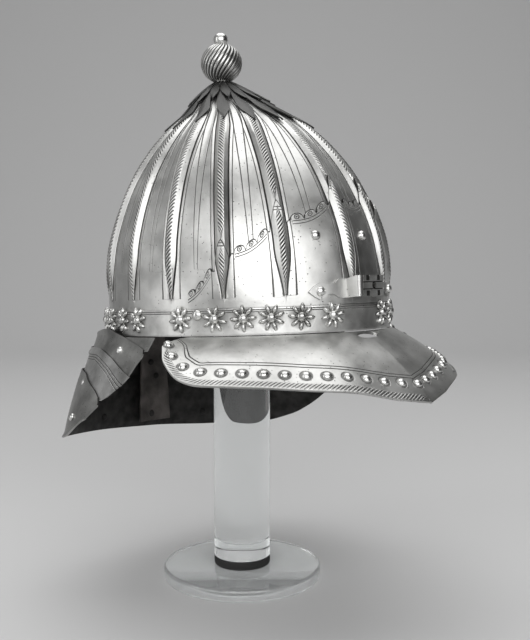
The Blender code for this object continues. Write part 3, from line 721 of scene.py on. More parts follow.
def peakPoint(share, across):
    share, across = np.broadcast_arrays(np.asarray(share, float), np.asarray(across, float))
    root = skullSurface(share * peak["baseAngle"], peak["rootHeight"], band["standOff"])
    edge = peakEdge(share)
    point = root + (edge - root) * across[..., None]
    length = np.linalg.norm(root - edge, axis=-1)
    point[..., 2] += 2.0 * across * (1.0 - across) * peak["crown"] * length
    return point


def peakNormal(share, across):
    along = peakPoint(share + 0.004, across) - peakPoint(share - 0.004, across)
    out = peakPoint(share, across + 0.01) - peakPoint(share, across - 0.01)
    normal = unit(np.cross(along, out))
    return normal * np.where(normal[..., 2] < 0.0, -1.0, 1.0)[..., None]


def evenShares(across, count, end):
    fine = np.linspace(-end, end, 801)
    return evenSteps(peakPoint(fine, across), fine, count)


def makePeak(material, ropeMaterial, headMaterial):
    shares = evenShares(1.0, peak["columns"] + 1, 1.0)
    for corner in (-peak["corner"], 0.0, peak["corner"]):
        shares[np.argmin(np.abs(shares - corner))] = corner
    across = np.linspace(0.0, 1.0, peak["rows"] + 1)
    grid = peakPoint(shares[None, :], across[:, None])
    rim = peakEdge(np.linspace(-1.0, 1.0, 900))
    # The cut lines keep closer to the edge as they near the ends
    drawnIn = np.interp(np.abs(shares), *peak["lineInset"])
    heads = evenShares(peak["rivetAcross"], peak["rivets"], peak["rivetEnd"])
    heads = np.concatenate(([-peak["rivetLast"]], heads, [peak["rivetLast"]]))
    places = peakPoint(heads, peak["rivetAcross"])
    # fromRivet marks a ring round each rivet head for its painted shadow
    fields = {"fromEdge": nearest(grid, rim) * drawnIn[None, :], "fromRivet": nearest(grid, places)}
    brim = sheet("peakBrim", grid, fields)
    faceUp(brim)
    thicken(brim, peak["thickness"], edge=0.4)
    width, depth, out = peak["slot"]
    place = skullSurface(0.0, peak["rootHeight"] + 0.3, out)
    deselectAll()
    bpy.ops.mesh.primitive_cylinder_add(vertices=48, radius=0.5, depth=1.0)
    cutter = named("slotCutter")
    movePoints(cutter, (pointsOf(cutter) * np.array((width, depth, 30.0)) + place) * mm)
    cut = brim.modifiers.new("Slot", "BOOLEAN")
    cut.operation = "DIFFERENCE"
    cut.object = cutter
    applyAll(brim)
    bpy.data.objects.remove(cutter, do_unlink=True)
    finishPiece(brim, material, ["peak"], angle=40.0)

    # Roped edge: one side starts at the point of the peak, the other past the corner
    strips = []
    for side in (-1.0, 1.0):
        run = evenShares(1.0, 500, 1.0)
        run = run[(run * side > peak["ropeFrom"][side]) & (run * side < 0.992)]
        inward = []
        for share in run:
            line = np.linspace(0.6, 1.0, 60)
            gap = np.sqrt(((peakPoint(share, line)[:, None] - rim[None]) ** 2).sum(axis=2).min(axis=1))
            inward.append(np.interp(peak["ropeInset"], gap[::-1], line[::-1]))
        inward = np.array(inward)
        out = peakNormal(run, inward)
        path = peakPoint(run, inward)
        across = unit(np.cross(out, np.gradient(path, axis=0)))
        strips.append(ropeAlong("strip", path + out * 0.25, across, out, 1.0, (5.0, 12.0),
                                width=peak["ropeWidth"], crown=0.1))
    edge = joined("peakRope", strips)
    faceUp(edge)
    finishPiece(edge, ropeMaterial, angle=60.0)
    normals = peakNormal(heads, peak["rivetAcross"])
    makeHeads("peakRivets", places, normals, *peak["rivetHead"], headMaterial, "dark_steel")


# Rivet heads: low domes, hand hammered, a little uneven

def makeHeads(name, places, normals, radius, height, material, slot, nodes=()):
    heads = []
    for i, (place, normal) in enumerate(zip(places, normals)):
        deselectAll()
        bpy.ops.mesh.primitive_uv_sphere_add(segments=20, ring_count=12, radius=1.0)
        head = named("head")
        shape = pointsOf(head)
        flat = 1.0 + 0.05 * math.sin(i * 2.4)
        shape = shape * np.array((radius * flat, radius * (2.0 - flat), height))
        shape[:, 2] = np.maximum(shape[:, 2], -0.4)
        turn = np.array(Vector(normal).to_track_quat("Z", "Y").to_matrix())
        movePoints(head, (shape @ turn.T + place) * mm)
        heads.append(head)
    made = joined(name, heads)
    return finishPiece(made, material, nodes, angle=50.0)


# Nasal bracket: a strap with pointed ears bent round a raised box

bracket = {
    "thickness": 1.5,
    "standOff": 3.7,
    "box": (-14.9, 12.2),
    "face": -130.4,
    "corner": 2.2,
    "boxLow": 12.1,
    "boxHigh": 26.3,
    "rows": 44,
    # middle across and up, then width and height
    "hole": (0.7, 19.3, 4.2, 5.6),
    # seam from the box's end, lines and notches from its middle height, notches across
    "filed": (3.9, 2.3, 3.4, 5.6),
    # angle, lower and upper edge from each ear's point to the foot of the box
    "right": np.array((
        (25.0, 15.8, 16.2), (24.4, 15.0, 17.2), (22.6, 12.6, 20.0), (20.8, 10.9, 21.5),
        (19.4, 11.0, 21.8), (18.2, 12.6, 21.0), (17.2, 14.3, 20.8), (14.9, 14.2, 21.2),
        (14.0, 13.4, 21.6), (12.4, 11.5, 24.1), (11.4, 11.4, 24.3), (8.7, 11.4, 24.3),
    )),
    "left": np.array((
        (26.9, 15.8, 16.2), (26.3, 15.0, 17.2), (24.6, 12.6, 20.0), (22.8, 10.9, 21.5),
        (21.4, 11.0, 21.8), (20.2, 12.6, 21.0), (19.2, 14.3, 20.8), (15.4, 14.2, 21.2),
        (14.4, 13.4, 21.6), (12.8, 11.5, 24.1), (11.8, 11.4, 24.3), (7.6, 11.4, 24.3),
    )),
}


def ridgeLift(angle, height):
    # Height of the ridges above the bowl at any angle
    lift = np.zeros_like(angle)
    for ridge in skull["ridges"]:
        away = np.abs(wrapTurn(angle - ridge)) * mmPerDegree(ridge, height)
        lift = np.maximum(lift, np.interp(away, skull["ridgeSteps"], skull["ridgeRelief"]))
    return lift * skull["ridgeHeight"] * skullShare(height, 3)


def bracketEar(side, sign, edge):
    table = bracket[side]
    angles = np.linspace(table[0, 0], table[-1, 0], 90)
    height = np.interp(-angles, -table[:, 0], table[:, edge])
    angles = angles * sign
    return skullSurface(angles, height, bracket["standOff"] + ridgeLift(angles, 16.0 + 0.0 * angles))


def makeBracket(material, holeShadowMaterial):
    look = bracket
    low, high = look["box"]
    front, corner = look["face"], look["corner"]
    turns = np.radians(np.linspace(0.0, 90.0, 8))
    rows = []
    for edge, height in ((1, look["boxLow"]), (2, look["boxHigh"])):
        face = [(x, front, height) for x in np.linspace(low + corner, high - corner, 110)[1:-1]]
        first = np.array([(low + corner * (1.0 - math.cos(t)), front + corner * (1.0 - math.sin(t)), height)
                          for t in turns])
        last = np.array([(high - corner * (1.0 - math.sin(t)), front + corner * (1.0 - math.cos(t)), height)
                         for t in turns])
        right = bracketEar("right", 1.0, edge)
        left = bracketEar("left", -1.0, edge)[::-1]
        part = np.linspace(0, 1, 14)[1:-1, None]
        walls = [start + (end - start) * part
                 for start, end in ((right[-1], first[0]), (last[-1], left[0]))]
        rows.append(np.array([*right, *walls[0], *first, *face, *last, *walls[1], *left]))
    share = np.linspace(0.0, 1.0, look["rows"] + 1)[:, None, None]
    grid = rows[0][None] * (1.0 - share) + rows[1][None] * share
    # Filed into the face: a seam, two long lines, and notches above and below them
    x, z = grid[..., 0], grid[..., 2]
    onFace = (np.abs(grid[..., 1] - front) < 0.01) & (x > low + 1.0) & (x < high - 0.5)
    away = np.abs(z - (look["boxLow"] + look["boxHigh"]) / 2.0)
    seamAt, lineAt, notchFrom, notchAt = look["filed"]
    line = onFace & (np.abs(away - lineAt) < 0.30) & (x > low + seamAt + 0.1)
    inNotch = (np.abs(x + notchAt) < 1.7) | (np.abs(x - notchAt) < 1.5)
    notch = onFace & (away > notchFrom) & inNotch
    seam = onFace & (np.abs(x - low - seamAt) < 0.25)
    depth = np.where(notch, 1.0, np.where(line | seam, 0.5, 0.0))
    grid[..., 1] += depth
    strap = sheet("nasalBracketStrap", grid, {"cut": np.where(depth > 0.0, 1.0, 0.0)})
    # Oval screw hole: points inside it go, and those next to it move onto its edge
    holeX, holeZ, wide, tall = look["hole"]
    points = pointsOf(strap) / mm
    reach = np.hypot((points[:, 0] - holeX) / (wide / 2.0), (points[:, 2] - holeZ) / (tall / 2.0))
    reach = np.where(points[:, 1] < front + 1.5, reach, 9.0)
    near = (reach >= 1.0) & (reach < 1.16)
    points[near, 0] = holeX + (points[near, 0] - holeX) / reach[near]
    points[near, 2] = holeZ + (points[near, 2] - holeZ) / reach[near]
    movePoints(strap, points * mm)
    editMesh(strap, ("select_all", {"action": "DESELECT"}))
    strap.data.vertices.foreach_set("select", reach < 1.0)
    editMesh(strap, ("delete", {"type": "VERT"}))
    faceAwayFrom(strap, (0.0, 0.0, 19.0))
    thicken(strap, look["thickness"])
    finishPiece(strap, material, ["nasal_bracket"], angle=30.0)
    # A dark disc behind the oval hole: painted shadow that fills the hole
    deselectAll()
    across = (math.pi / 2.0, 0, 0)
    bpy.ops.mesh.primitive_cylinder_add(vertices=40, radius=0.5, depth=1.0, rotation=across)
    holeShadowDisc = named("bracketHoleShadowDisc")
    bpy.ops.object.transform_apply(location=False, rotation=True, scale=False)
    place = np.array((holeX, front + 2.1, holeZ))
    movePoints(holeShadowDisc, (pointsOf(holeShadowDisc) * np.array((wide + 1.4, 1.0, tall + 1.4)) + place) * mm)
    bevelled(holeShadowDisc, 0.2)
    finishPiece(holeShadowDisc, holeShadowMaterial)


# Finial: a fluted ball with a plain knob on a short neck

finial = {
    "centre": 19.4,
    "radius": 16.2,
    "squash": 0.96,
    "flutes": 26,
    "twist": 0.62,
    "depth": 0.75,
    "knob": 5.6,
    "rise": 18.3,
    "footDrop": 14.9,
    # radius, with the drop below the knob's centre or the rise above the foot
    "neck": ((2.9, 4.6), (3.7, 5.0), (3.7, 5.6), (3.0, 6.0), (0.02, 6.2)),
    "foot": ((0.02, -2.6), (6.4, -2.4), (5.0, -0.6), (4.2, 0.4), (4.6, 1.2), (0.02, 1.6)),
}


def lathe(name, profile, steps, centreY=0.0):
    # A profile of radius and height turned round an upright axis
    turns = np.linspace(0.0, 2.0 * math.pi, steps + 1)[None, :]
    profile = np.array(profile, float)
    grid = np.stack((profile[:, :1] * np.sin(turns), centreY - profile[:, :1] * np.cos(turns),
                     profile[:, 1:] + 0.0 * turns), axis=-1)
    return sheet(name, grid, around=True)


def closeSeams(item, threshold):
    editMesh(item, ("select_all", {"action": "SELECT"}), ("remove_doubles", {"threshold": threshold * mm}),
             ("normals_make_consistent", {"inside": False}))


def makeFinial(material, knobMaterial):
    look = finial
    middle = skull["apexSweep"]
    centre = skull["height"] + look["centre"]
    around = np.linspace(0.0, 2.0 * math.pi, look["flutes"] * 10 + 1)
    up = np.radians(np.linspace(-73.0, 76.0, 72))[:, None]
    spin = around[None, :] + look["twist"] * up
    wave = np.abs(np.sin(look["flutes"] * around / 2.0))[None, :] + 0.0 * up
    fade = np.clip((np.cos(up) - 0.16) / 0.25, 0.0, 1.0)
    reach = look["radius"] - look["depth"] * fade * (1.0 - wave ** 0.75)
    grid = np.stack((
        reach * np.cos(up) * np.sin(spin),
        middle - reach * np.cos(up) * np.cos(spin),
        centre + reach * np.sin(up) * look["squash"] + 0.0 * spin,
    ), axis=-1)
    # The groove value marks where the material paints shade into the flutes
    ball = sheet("finialBall", grid, {"groove": (1.0 - wave) * fade}, around=True)
    editMesh(ball, ("select_all", {"action": "DESELECT"}), ("select_mode", {"type": "EDGE"}),
             ("select_non_manifold", {}), ("edge_face_add", {}), ("select_all", {"action": "SELECT"}),
             ("normals_make_consistent", {"inside": False}), ("select_mode", {"type": "VERT"}))
    finishPiece(ball, material, ["finial"], angle=60.0)

    # Knob with its neck ring, and the foot under the ball
    top, foot, size = centre + look["rise"], centre - look["footDrop"], look["knob"]
    profile = [(0.02, top + size)]
    profile += [(size * math.sin(t), top + size * math.cos(t))
                for t in np.radians(np.linspace(12.0, 140.0, 16))]
    profile += [(radius, top - drop) for radius, drop in look["neck"]]
    knob = lathe("finialKnob", profile, 40, middle)
    collar = lathe("finialFoot", [(radius, foot + rise) for radius, rise in look["foot"]], 40, middle)
    knob = joined("finialKnob", [knob, collar])
    closeSeams(knob, 0.06)
    finishPiece(knob, knobMaterial, angle=40.0)


# Leaf rosettes under the finial: short leaves over long ones, a pair for each ridge

leaves = {
    "count": 16,
    "thickness": 0.9,
    "fold": 0.5,
    "rise": 4.5,
    "riseFrom": 0.86,
    "riseSpan": 0.125,
    "columns": 8,
    "rows": 20,
    "lower": {
        "phase": 9.6, "root": 0.965, "tip": 0.786, "standOff": 1.5, "curl": 0.1,
        "width": ((0.0, 0.8), (0.25, 2.2), (0.5, 4.7), (0.62, 4.9), (1.0, 0.06)),
    },
    "upper": {
        "phase": -1.0, "root": 0.985, "tip": 0.896, "standOff": 3.0, "curl": 0.2,
        "width": ((0.0, 1.0), (0.4, 3.5), (0.6, 3.4), (1.0, 0.06)),
    },
}


def makeLeaves(name, look, material, node):
    share = np.linspace(0.0, 1.0, leaves["rows"] + 1)
    across = np.linspace(-1.0, 1.0, leaves["columns"] + 1)
    made = []
    for i in range(leaves["count"]):
        angle = look["phase"] + 360.0 * i / leaves["count"]
        long = 1.0 + 0.05 * math.sin(i * 1.9)
        height = skull["height"] * (look["root"] - (look["root"] - look["tip"]) * share * long)
        table = np.array(look["width"])
        half = np.interp(share, table[:, 0], table[:, 1])
        stand = look["standOff"] + look["curl"] * share ** 4
        ridge = skull["ridgeHeight"] * skullShare(height, 3)
        path = skullSurface(angle, height, stand + ridge)
        near = np.clip((height / skull["height"] - leaves["riseFrom"]) / leaves["riseSpan"], 0.0, 1.0)
        path[:, 2] += leaves["rise"] * near ** 1.3
        side = unit(skullSurface(angle + 1.0, height) - skullSurface(angle - 1.0, height))
        out = unit(np.cross(side, np.gradient(path, axis=0)))
        out = out * np.where(out[:, 2] < 0.0, -1.0, 1.0)[:, None]
        sag = half ** 2 / (2.0 * np.maximum(np.hypot(path[:, 0], path[:, 1] - 16.0), 4.0))
        drop = (leaves["fold"] * np.abs(across)[None, :] + sag[:, None] * across[None, :] ** 2)
        grid = path[:, None] + side[:, None] * (across[None, :] * half[:, None])[..., None]
        grid = grid - out[:, None] * drop[..., None]
        leaf = sheet("leaf", grid)
        faceAwayFrom(leaf, (0.0, skull["apexSweep"], 0.0))
        thicken(leaf, leaves["thickness"])
        made.append(leaf)
    return finishPiece(joined(name, made), material, [node], angle=25.0)


# Neck guard: four lames that lap downwards, and the leather they hang from

guard = {
    "depth": 100.0,
    "backFlare": 2.6,
    "sideFlare": 37.0,
    "squareness": 2.3,
    "thickness": 1.2,
    "step": 1.65,
    "wobble": 0.35 / 110.0,
    "rolledRim": 1.4,
    "columns": 150,
    "rows": 26,
    "sections": np.array((
        (0.12, 0.040, 0.31), (0.30, 0.295, 0.54), (0.50, 0.584, 0.77), (0.80, 0.927, 1.00),
        (1.02, 1.073, 1.46),
    )),
    "rim": np.array((
        (-1.0, 0.69), (-0.86, 0.82), (-0.67, 0.87), (-0.45, 0.90), (-0.22, 0.92), (0.0, 0.95),
        (0.295, 1.0), (0.56, 1.01), (0.73, 0.95), (0.83, 0.87), (0.92, 0.77), (1.0, 0.66),
    )),
    # half angle down each end, then the upper and lower edges from the back round
    "lames": (
        {
            "half": ((0.0, 95.0), (1.0, 94.0)),
            "top": ((0.0, 0.12), (1.0, 0.12)),
            "bottom": ((0.0, 0.26), (1.0, 0.21)),
        },
        {
            "half": ((0.0, 93.0), (0.2, 93.5), (0.6, 92.0), (1.0, 91.0)),
            "top": ((0.0, 0.12), (0.55, 0.10), (0.774, 0.06), (0.84, 0.09), (0.946, 0.15), (1.0, 0.20)),
            "bottom": ((0.0, 0.30), (0.8, 0.29), (0.9, 0.34), (1.0, 0.38)),
        },
        {
            "half": ((0.0, 92.0), (0.4, 90.0), (0.8, 87.0), (1.0, 84.0)),
            "top": ((0.0, 0.22), (0.5, 0.21), (0.74, 0.20), (0.88, 0.26), (0.946, 0.32), (1.0, 0.38)),
            "bottom": ((0.0, 0.50), (0.8, 0.52), (1.0, 0.55)),
        },
        {
            "half": ((0.0, 83.5), (0.3, 84.5), (0.6, 82.5), (1.0, 79.0)),
            "top": ((0.0, 0.42), (0.7, 0.37), (0.786, 0.38), (0.87, 0.43), (0.964, 0.49), (1.0, 0.53)),
            "bottom": None,
        },
    ),
    "strap": (5.0, 0.125, 0.90, 1.8),
    # angle from the back, depth as a share, and how far a head stands off
    "rivets": (
        (-83.5, 0.21, 3.3), (-34.0, 0.33, 5.0), (-52.0, 0.25, 3.4), (-67.0, 0.45, 5.0),
        (-68.5, 0.69, 6.7), (83.5, 0.21, 3.3), (34.0, 0.33, 5.0), (52.0, 0.25, 3.4),
        (67.0, 0.50, 5.0), (62.0, 0.74, 6.7), (0.0, 0.33, 5.0), (0.0, 0.66, 6.7),
        (-30.0, 0.80, 6.7), (30.0, 0.80, 6.7),
    ),
    "rivetHead": (3.0, 2.2),
    "innerRivets": (
        (0.5, 0.52, -2.2), (-1.0, 0.40, -2.2), (-1.0, 0.84, -2.2), (-19.0, 0.82, 4.9),
        (20.0, 0.89, 4.9), (40.0, 0.93, 4.9), (-2.0, 0.26, -2.2),
    ),
    "innerHead": (2.8, 0.9),
}


def guardPoint(turned, depth, standOff):
    turned, depth = np.broadcast_arrays(np.asarray(turned, float), np.asarray(depth, float))
    table = guard["sections"]
    side = curveThrough(depth, table[:, 0], table[:, 1]) * guard["sideFlare"]
    rear = curveThrough(depth, table[:, 0], table[:, 2]) * guard["backFlare"]
    power = 2.0 / guard["squareness"]
    cosine, sine = np.cos(np.radians(turned)), np.sin(np.radians(turned))
    y = (skull["halfLength"] + rear + standOff) * np.sign(cosine) * np.abs(cosine) ** power
    x = (skull["halfWidth"] + side + standOff) * np.sign(sine) * np.abs(sine) ** power
    return np.stack((x, y, -depth * guard["depth"]), axis=-1)


def evenTurns(half):
    # Angles that part the guard's sweep into equal steps
    fine = np.linspace(-half, half, 4001)
    return evenSteps(guardPoint(fine, 0.4, 0.0), fine, guard["columns"] + 1)


def guardNormal(turned, depth):
    along = guardPoint(turned + 0.5, depth, 0.0) - guardPoint(turned - 0.5, depth, 0.0)
    down = guardPoint(turned, depth + 0.01, 0.0) - guardPoint(turned, depth - 0.01, 0.0)
    normal = unit(np.cross(along, down))
    return normal if np.dot(normal[:2], guardPoint(turned, depth, 0.0)[:2]) > 0.0 else -normal


def makeLames(plain, lined, inside):
    for i, look in enumerate(guard["lames"]):
        half = np.array(look["half"])
        top = np.array(look["top"])
        turned = evenTurns(half[0, 1])
        share = turned / half[0, 1]
        down = np.linspace(0.0, 1.0, guard["rows"] + 1)[:, None]
        turned = share[None, :] * curveThrough(down, half[:, 0], half[:, 1])
        high = curveThrough(np.abs(share), top[:, 0], top[:, 1])
        # The last lame has a rolled rim, and all are a little uneven
        rolled = look["bottom"] is None
        bottom = guard["rim"] if rolled else np.array(look["bottom"])
        low = curveThrough(share if rolled else np.abs(share), bottom[:, 0], bottom[:, 1])
        depth = high + (low - high) * down
        rim = guard["rolledRim"] * easeIn(down, 0.93, 1.0) * rolled
        grid = guardPoint(turned, depth, (i + 1) * guard["step"] + rim)
        wobble = guard["wobble"] * np.sin(share * 9.0 + 2.0 * i)[None, :] * np.sin(down * 3.0)
        grid[..., :2] *= (1.0 + wobble)[..., None]
        tall = (low - high)[None, :] * guard["depth"]
        lame = sheet("lamePlate_%d" % (i + 1), grid, {"fromTop": down * tall})
        faceAwayFrom(lame, (0.0, 0.0, -50.0))
        thicken(lame, guard["thickness"])
        finishPiece(lame, lined if i == 2 else plain, ["neck_lame_%d" % (i + 1)],
                    angle=40.0)
        lame.data.materials.append(inside)
        for face in lame.data.polygons:
            outwards = face.normal.x * face.center.x + face.normal.y * face.center.y
            face.material_index = 1 if outwards < -0.004 else 0


def guardHeads(name, spots, inwards, size, material):
    places = [guardPoint(turned, depth, stand) for turned, depth, stand in spots]
    normals = [guardNormal(turned, depth) * (-1.0 if inwards else 1.0) for turned, depth, stand in spots]
    return makeHeads(name, places, normals, *size, material, "dark_steel")


def makeGuardRivets(material):
    guardHeads("guardRivets", guard["rivets"], False, guard["rivetHead"], material)


def makeLining(leather, material):
    # Centre leather with its riveted plates, seen through the open side
    half, top, bottom, thick = guard["strap"]
    turned = np.linspace(-half, half, 13)[None, :]
    depth = np.linspace(top, bottom, 70)[:, None]
    grid = guardPoint(turned, depth, -0.2)
    grid[..., 1] -= 0.25 * np.sin(depth * 31.0)
    strap = sheet("neckLeatherStrap", grid)
    faceAwayFrom(strap, (0.0, 0.0, -50.0))
    thicken(strap, thick, edge=0.4)
    finishPiece(strap, leather, ["neck_leather"])
    guardHeads("innerRivets", guard["innerRivets"], True, guard["innerHead"], material)


# Display stand: clear rod on a thick clear disc, with a black pad between

stand = {
    "baseRadius": 62.0,
    "baseHeight": 10.0,
    "rounding": 2.2,
    "rodRadius": 22.1,
    "rodTop": 367.4,
    "rodDome": 14.0,
    "pad": (10.3, 16.8),
    "rodFoot": 17.1,
}


def makeTurned(name, profile, steps, slot, material, node):
    made = lathe(name, profile, steps)
    closeSeams(made, 0.01)
    made.visible_shadow = slot != "clear_acrylic"
    finishPiece(made, material, [node], onStand=True)


def makeStand(baseAcrylic, acrylic, pad):
    look = stand
    radius, high, r = look["baseRadius"], look["baseHeight"], look["rounding"]
    turns = np.radians(np.linspace(90.0, 0.0, 8))
    profile = [(0.0, high)]
    profile += [(radius - r + r * math.cos(t), high - r + r * math.sin(t)) for t in turns]
    profile += [(radius - r + r * math.cos(t), r - r * math.sin(t)) for t in turns[::-1]]
    profile += [(0.0, 0.0)]
    makeTurned("acrylicBase", profile, 160, "clear_acrylic", baseAcrylic, "stand_base")
    low, top = look["pad"]
    radius = look["rodRadius"]
    profile = [(0.0, top), (radius - 0.8, top), (radius - 0.2, top - 0.8), (radius, top - 3.0),
               (radius - 0.2, low + 0.8), (radius - 0.8, low), (0.0, low)]
    makeTurned("blackPad", profile, 96, "black_pad", pad, "stand_pad")
    dome, top, foot = look["rodDome"], look["rodTop"], look["rodFoot"]
    profile = [(radius * math.cos(t), top - dome + dome * math.sin(t))
               for t in np.radians(np.linspace(90.0, 0.0, 20))]
    profile[0] = (0.0, top)
    profile += [(radius, foot + 0.6), (radius - 0.6, foot), (0.0, foot)]
    makeTurned("acrylicRod", profile, 128, "clear_acrylic", acrylic, "stand_column")


# Materials

def hexToLinear(text):
    values = [int(text[i:i + 2], 16) / 255.0 for i in (1, 3, 5)]
    linear = [v / 12.92 if v <= 0.04045 else ((v + 0.055) / 1.055) ** 2.4 for v in values]
    return (*linear, 1.0)


def addNode(tree, kind, settings=(), links=(), stops=()):
    # Links come from sockets or from a node's first output
    node = tree.nodes.new("ShaderNode" + kind)
    for name, value in dict(settings).items():
        if isinstance(name, str) and hasattr(node, name):
            setattr(node, name, value)
        else:
            node.inputs[name].default_value = value
    for name, source in dict(links).items():
        tree.links.new(getattr(source, "outputs", [source])[0], node.inputs[name])
    for i, (position, colour) in enumerate(stops):
        node.color_ramp.elements[i].position = position
        node.color_ramp.elements[i].color = hexToLinear(colour)
    return node


def newMaterial(name, settings):
    # Gives the material, its nodes and shader, and a link to the place on the object
    material = bpy.data.materials.new(name)
    material.use_nodes = True
    shader = material.node_tree.nodes["Principled BSDF"]
    for socket, value in settings.items():
        shader.inputs[socket].default_value = value
    place = addNode(material.node_tree, "TexCoord").outputs["Object"]
    return material, material.node_tree, shader, {"Vector": place}


# What all the steels share unless their own look says otherwise; lines give a
# point attribute, its value at the middle of a line, half the width and the darkness
steelLook = {
    "bright": "#d2d2d0",
    "stain": "#b2b2b0",
    # near black for dirt in pits, for cut lines and for the painted shade
    "grimeAndShade": "#1c1b1a",
    "roughness": 0.36,
    "hammer": 0.16,
    "pitScale": 520.0,
    "pitRare": 0.70,
    "lines": (),
}


def handPolishedSteel(name, own):
    # Old armour plate, hammered, then polished by hand: bright with soft
    # reflections, dark dirt in pits, dark cut lines, faint cloudy staining; the same
    # near black also paints shade into grooves and paints the listed shadow lines and rings
    look = {**steelLook, **own}
    material, tree, shader, place = newMaterial(name, {"Metallic": 1.0})
    cloud = addNode(tree, "TexNoise", {"Scale": 38.0, "Detail": 5.0, "Roughness": 0.6}, place)
    patches = addNode(tree, "TexNoise", {"Scale": 55.0, "Detail": 3.0}, place)
    pits = addNode(tree, "TexVoronoi", {"Scale": look["pitScale"], "Randomness": 1.0}, place)
    core = addNode(tree, "MapRange",
                   {"From Min": 0.10, "From Max": 0.22, "To Min": 1.0, "To Max": 0.0}, {"Value": pits})
    picked = addNode(tree, "SeparateColor", {}, {"Color": pits.outputs["Color"]})
    rare = addNode(tree, "MapRange",
                   {"From Min": look["pitRare"], "From Max": look["pitRare"] + 0.03}, {"Value": picked})
    patchy = addNode(tree, "MapRange", {"From Min": 0.38, "From Max": 0.58},
                     {"Value": patches})
    pit = addNode(tree, "Math", {"operation": "MULTIPLY"}, {0: core, 1: rare})
    dark = deep = addNode(tree, "Math", {"operation": "MULTIPLY"}, {0: pit, 1: patchy})
    cutsAndShade, grooveShade = [], []
    for field, centre, halfWidth, strength in look["lines"]:
        source = addNode(tree, "Attribute", {"attribute_name": field})
        away = addNode(tree, "Math", {"operation": "SUBTRACT", 1: centre},
                       {0: source.outputs["Fac"]})
        size = addNode(tree, "Math", {"operation": "ABSOLUTE"}, {0: away})
        cutsAndShade.append(addNode(tree, "MapRange", {
            "From Min": halfWidth * 0.5, "From Max": halfWidth * 1.3, "To Min": strength, "To Max": 0.0,
        }, {"Value": size}))
    if "rings" in look:
        # Small stamped rings, one in each scallop
        ringX = addNode(tree, "Attribute", {"attribute_name": "ringX"})
        ringY = addNode(tree, "Attribute", {"attribute_name": "underBorder"})
        x = addNode(tree, "Math", {"operation": "MULTIPLY_ADD", 1: 9.0, 2: -4.5},
                    {0: ringX.outputs["Fac"]})
        y = addNode(tree, "Math", {"operation": "SUBTRACT", 1: 2.5}, {0: ringY.outputs["Fac"]})
        spot = addNode(tree, "CombineXYZ", {}, {0: x, 1: y})
        reach = addNode(tree, "VectorMath", {"operation": "LENGTH"}, {0: spot})
        away = addNode(tree, "Math", {"operation": "SUBTRACT", 1: look["rings"]},
                       {0: reach.outputs["Value"]})
        size = addNode(tree, "Math", {"operation": "ABSOLUTE"}, {0: away})
        for low, high, strength, source in ((0.15, 0.40, 0.85, size.outputs[0]),
                                            (0.35, 0.70, 0.8, reach.outputs["Value"])):
            cutsAndShade.append(addNode(tree, "MapRange", {
                "From Min": low, "From Max": high, "To Min": strength, "To Max": 0.0,
            }, {"Value": source}))
    # Darker towards the bottom of each groove: painted shade in rope strokes and flute valleys
    if "groove" in look:
        source = addNode(tree, "Attribute", {"attribute_name": "groove"})
        grooveShade.append(addNode(tree, "MapRange", {
            "From Min": 0.10, "From Max": 0.70, "To Max": look["groove"],
        }, {"Value": source.outputs["Fac"]}))
    for cut in cutsAndShade:
        deep = addNode(tree, "Math", {"operation": "MAXIMUM"}, {0: deep, 1: cut})
    for mark in cutsAndShade + grooveShade:
        dark = addNode(tree, "Math", {"operation": "MAXIMUM"}, {0: dark, 1: mark})
    tone = addNode(tree, "ValToRGB", {}, {"Fac": cloud},
                   ((0.30, look["stain"]), (0.62, look["bright"])))
    colour = addNode(tree, "Mix", {"data_type": "RGBA", 7: hexToLinear(look["grimeAndShade"])},
                     {0: dark, 6: tone})
    rough = addNode(tree, "MapRange", {
        "From Min": 0.3, "From Max": 0.7, "To Min": look["roughness"] - 0.05,
        "To Max": look["roughness"] + 0.10,
    }, {"Value": cloud})
    worn = addNode(tree, "Math", {"operation": "MULTIPLY_ADD", 1: 0.35}, {0: dark, 2: rough})
    # Hammer marks about 14 mm across, then the cut lines and pits, with the painted shade lines and rings
    # pressed in too
    hammer = addNode(tree, "TexNoise", {"Scale": 70.0, "Detail": 2.0, "Roughness": 0.45}, place)
    waves = addNode(tree, "Bump", {"Strength": look["hammer"], "Distance": 0.0012},
                    {"Height": hammer})
    grit = addNode(tree, "TexNoise", {"Scale": 900.0, "Detail": 2.0}, place)
    fine = addNode(tree, "Bump", {"Strength": 0.12, "Distance": 0.0002},
                   {"Height": grit, "Normal": waves})
    engraved = addNode(tree, "Bump", {"Strength": 0.9, "Distance": 0.0004, "invert": True},
                       {"Height": deep, "Normal": fine})
    tree.links.new(colour.outputs[2], shader.inputs["Base Color"])
    tree.links.new(worn.outputs[0], shader.inputs["Roughness"])
    tree.links.new(engraved.outputs[0], shader.inputs["Normal"])
    return material


skullSteel = handPolishedSteel("hand polished skull steel", {
    "lines": (("fromRidge", 5.3, 0.50, 0.95), ("fromRidge", 8.0, 0.28, 0.85),
              ("panelLine", 1.0, 0.13, 0.8), ("panelLine", -1.0, 0.13, 0.8)),
})
# Its groove setting paints shade into the rope strokes
ropeSteel = handPolishedSteel("roped crest steel", {"groove": 0.95, "hammer": 0.1})
# underTop darkens the plate's top edge: a painted shadow line along the scallops and tongue tips
plateSteel = handPolishedSteel("hand polished brow plate steel", {
    "lines": (("fromRidge", 5.3, 0.45, 0.9), ("fromRidge", 8.0, 0.28, 0.8),
              ("underBorder", -0.2, 0.28, 0.85), ("underBorder", -2.2, 0.28, 0.85),
              ("underTop", 0.0, 0.85, 0.95)),
    "rings": 1.5,
})
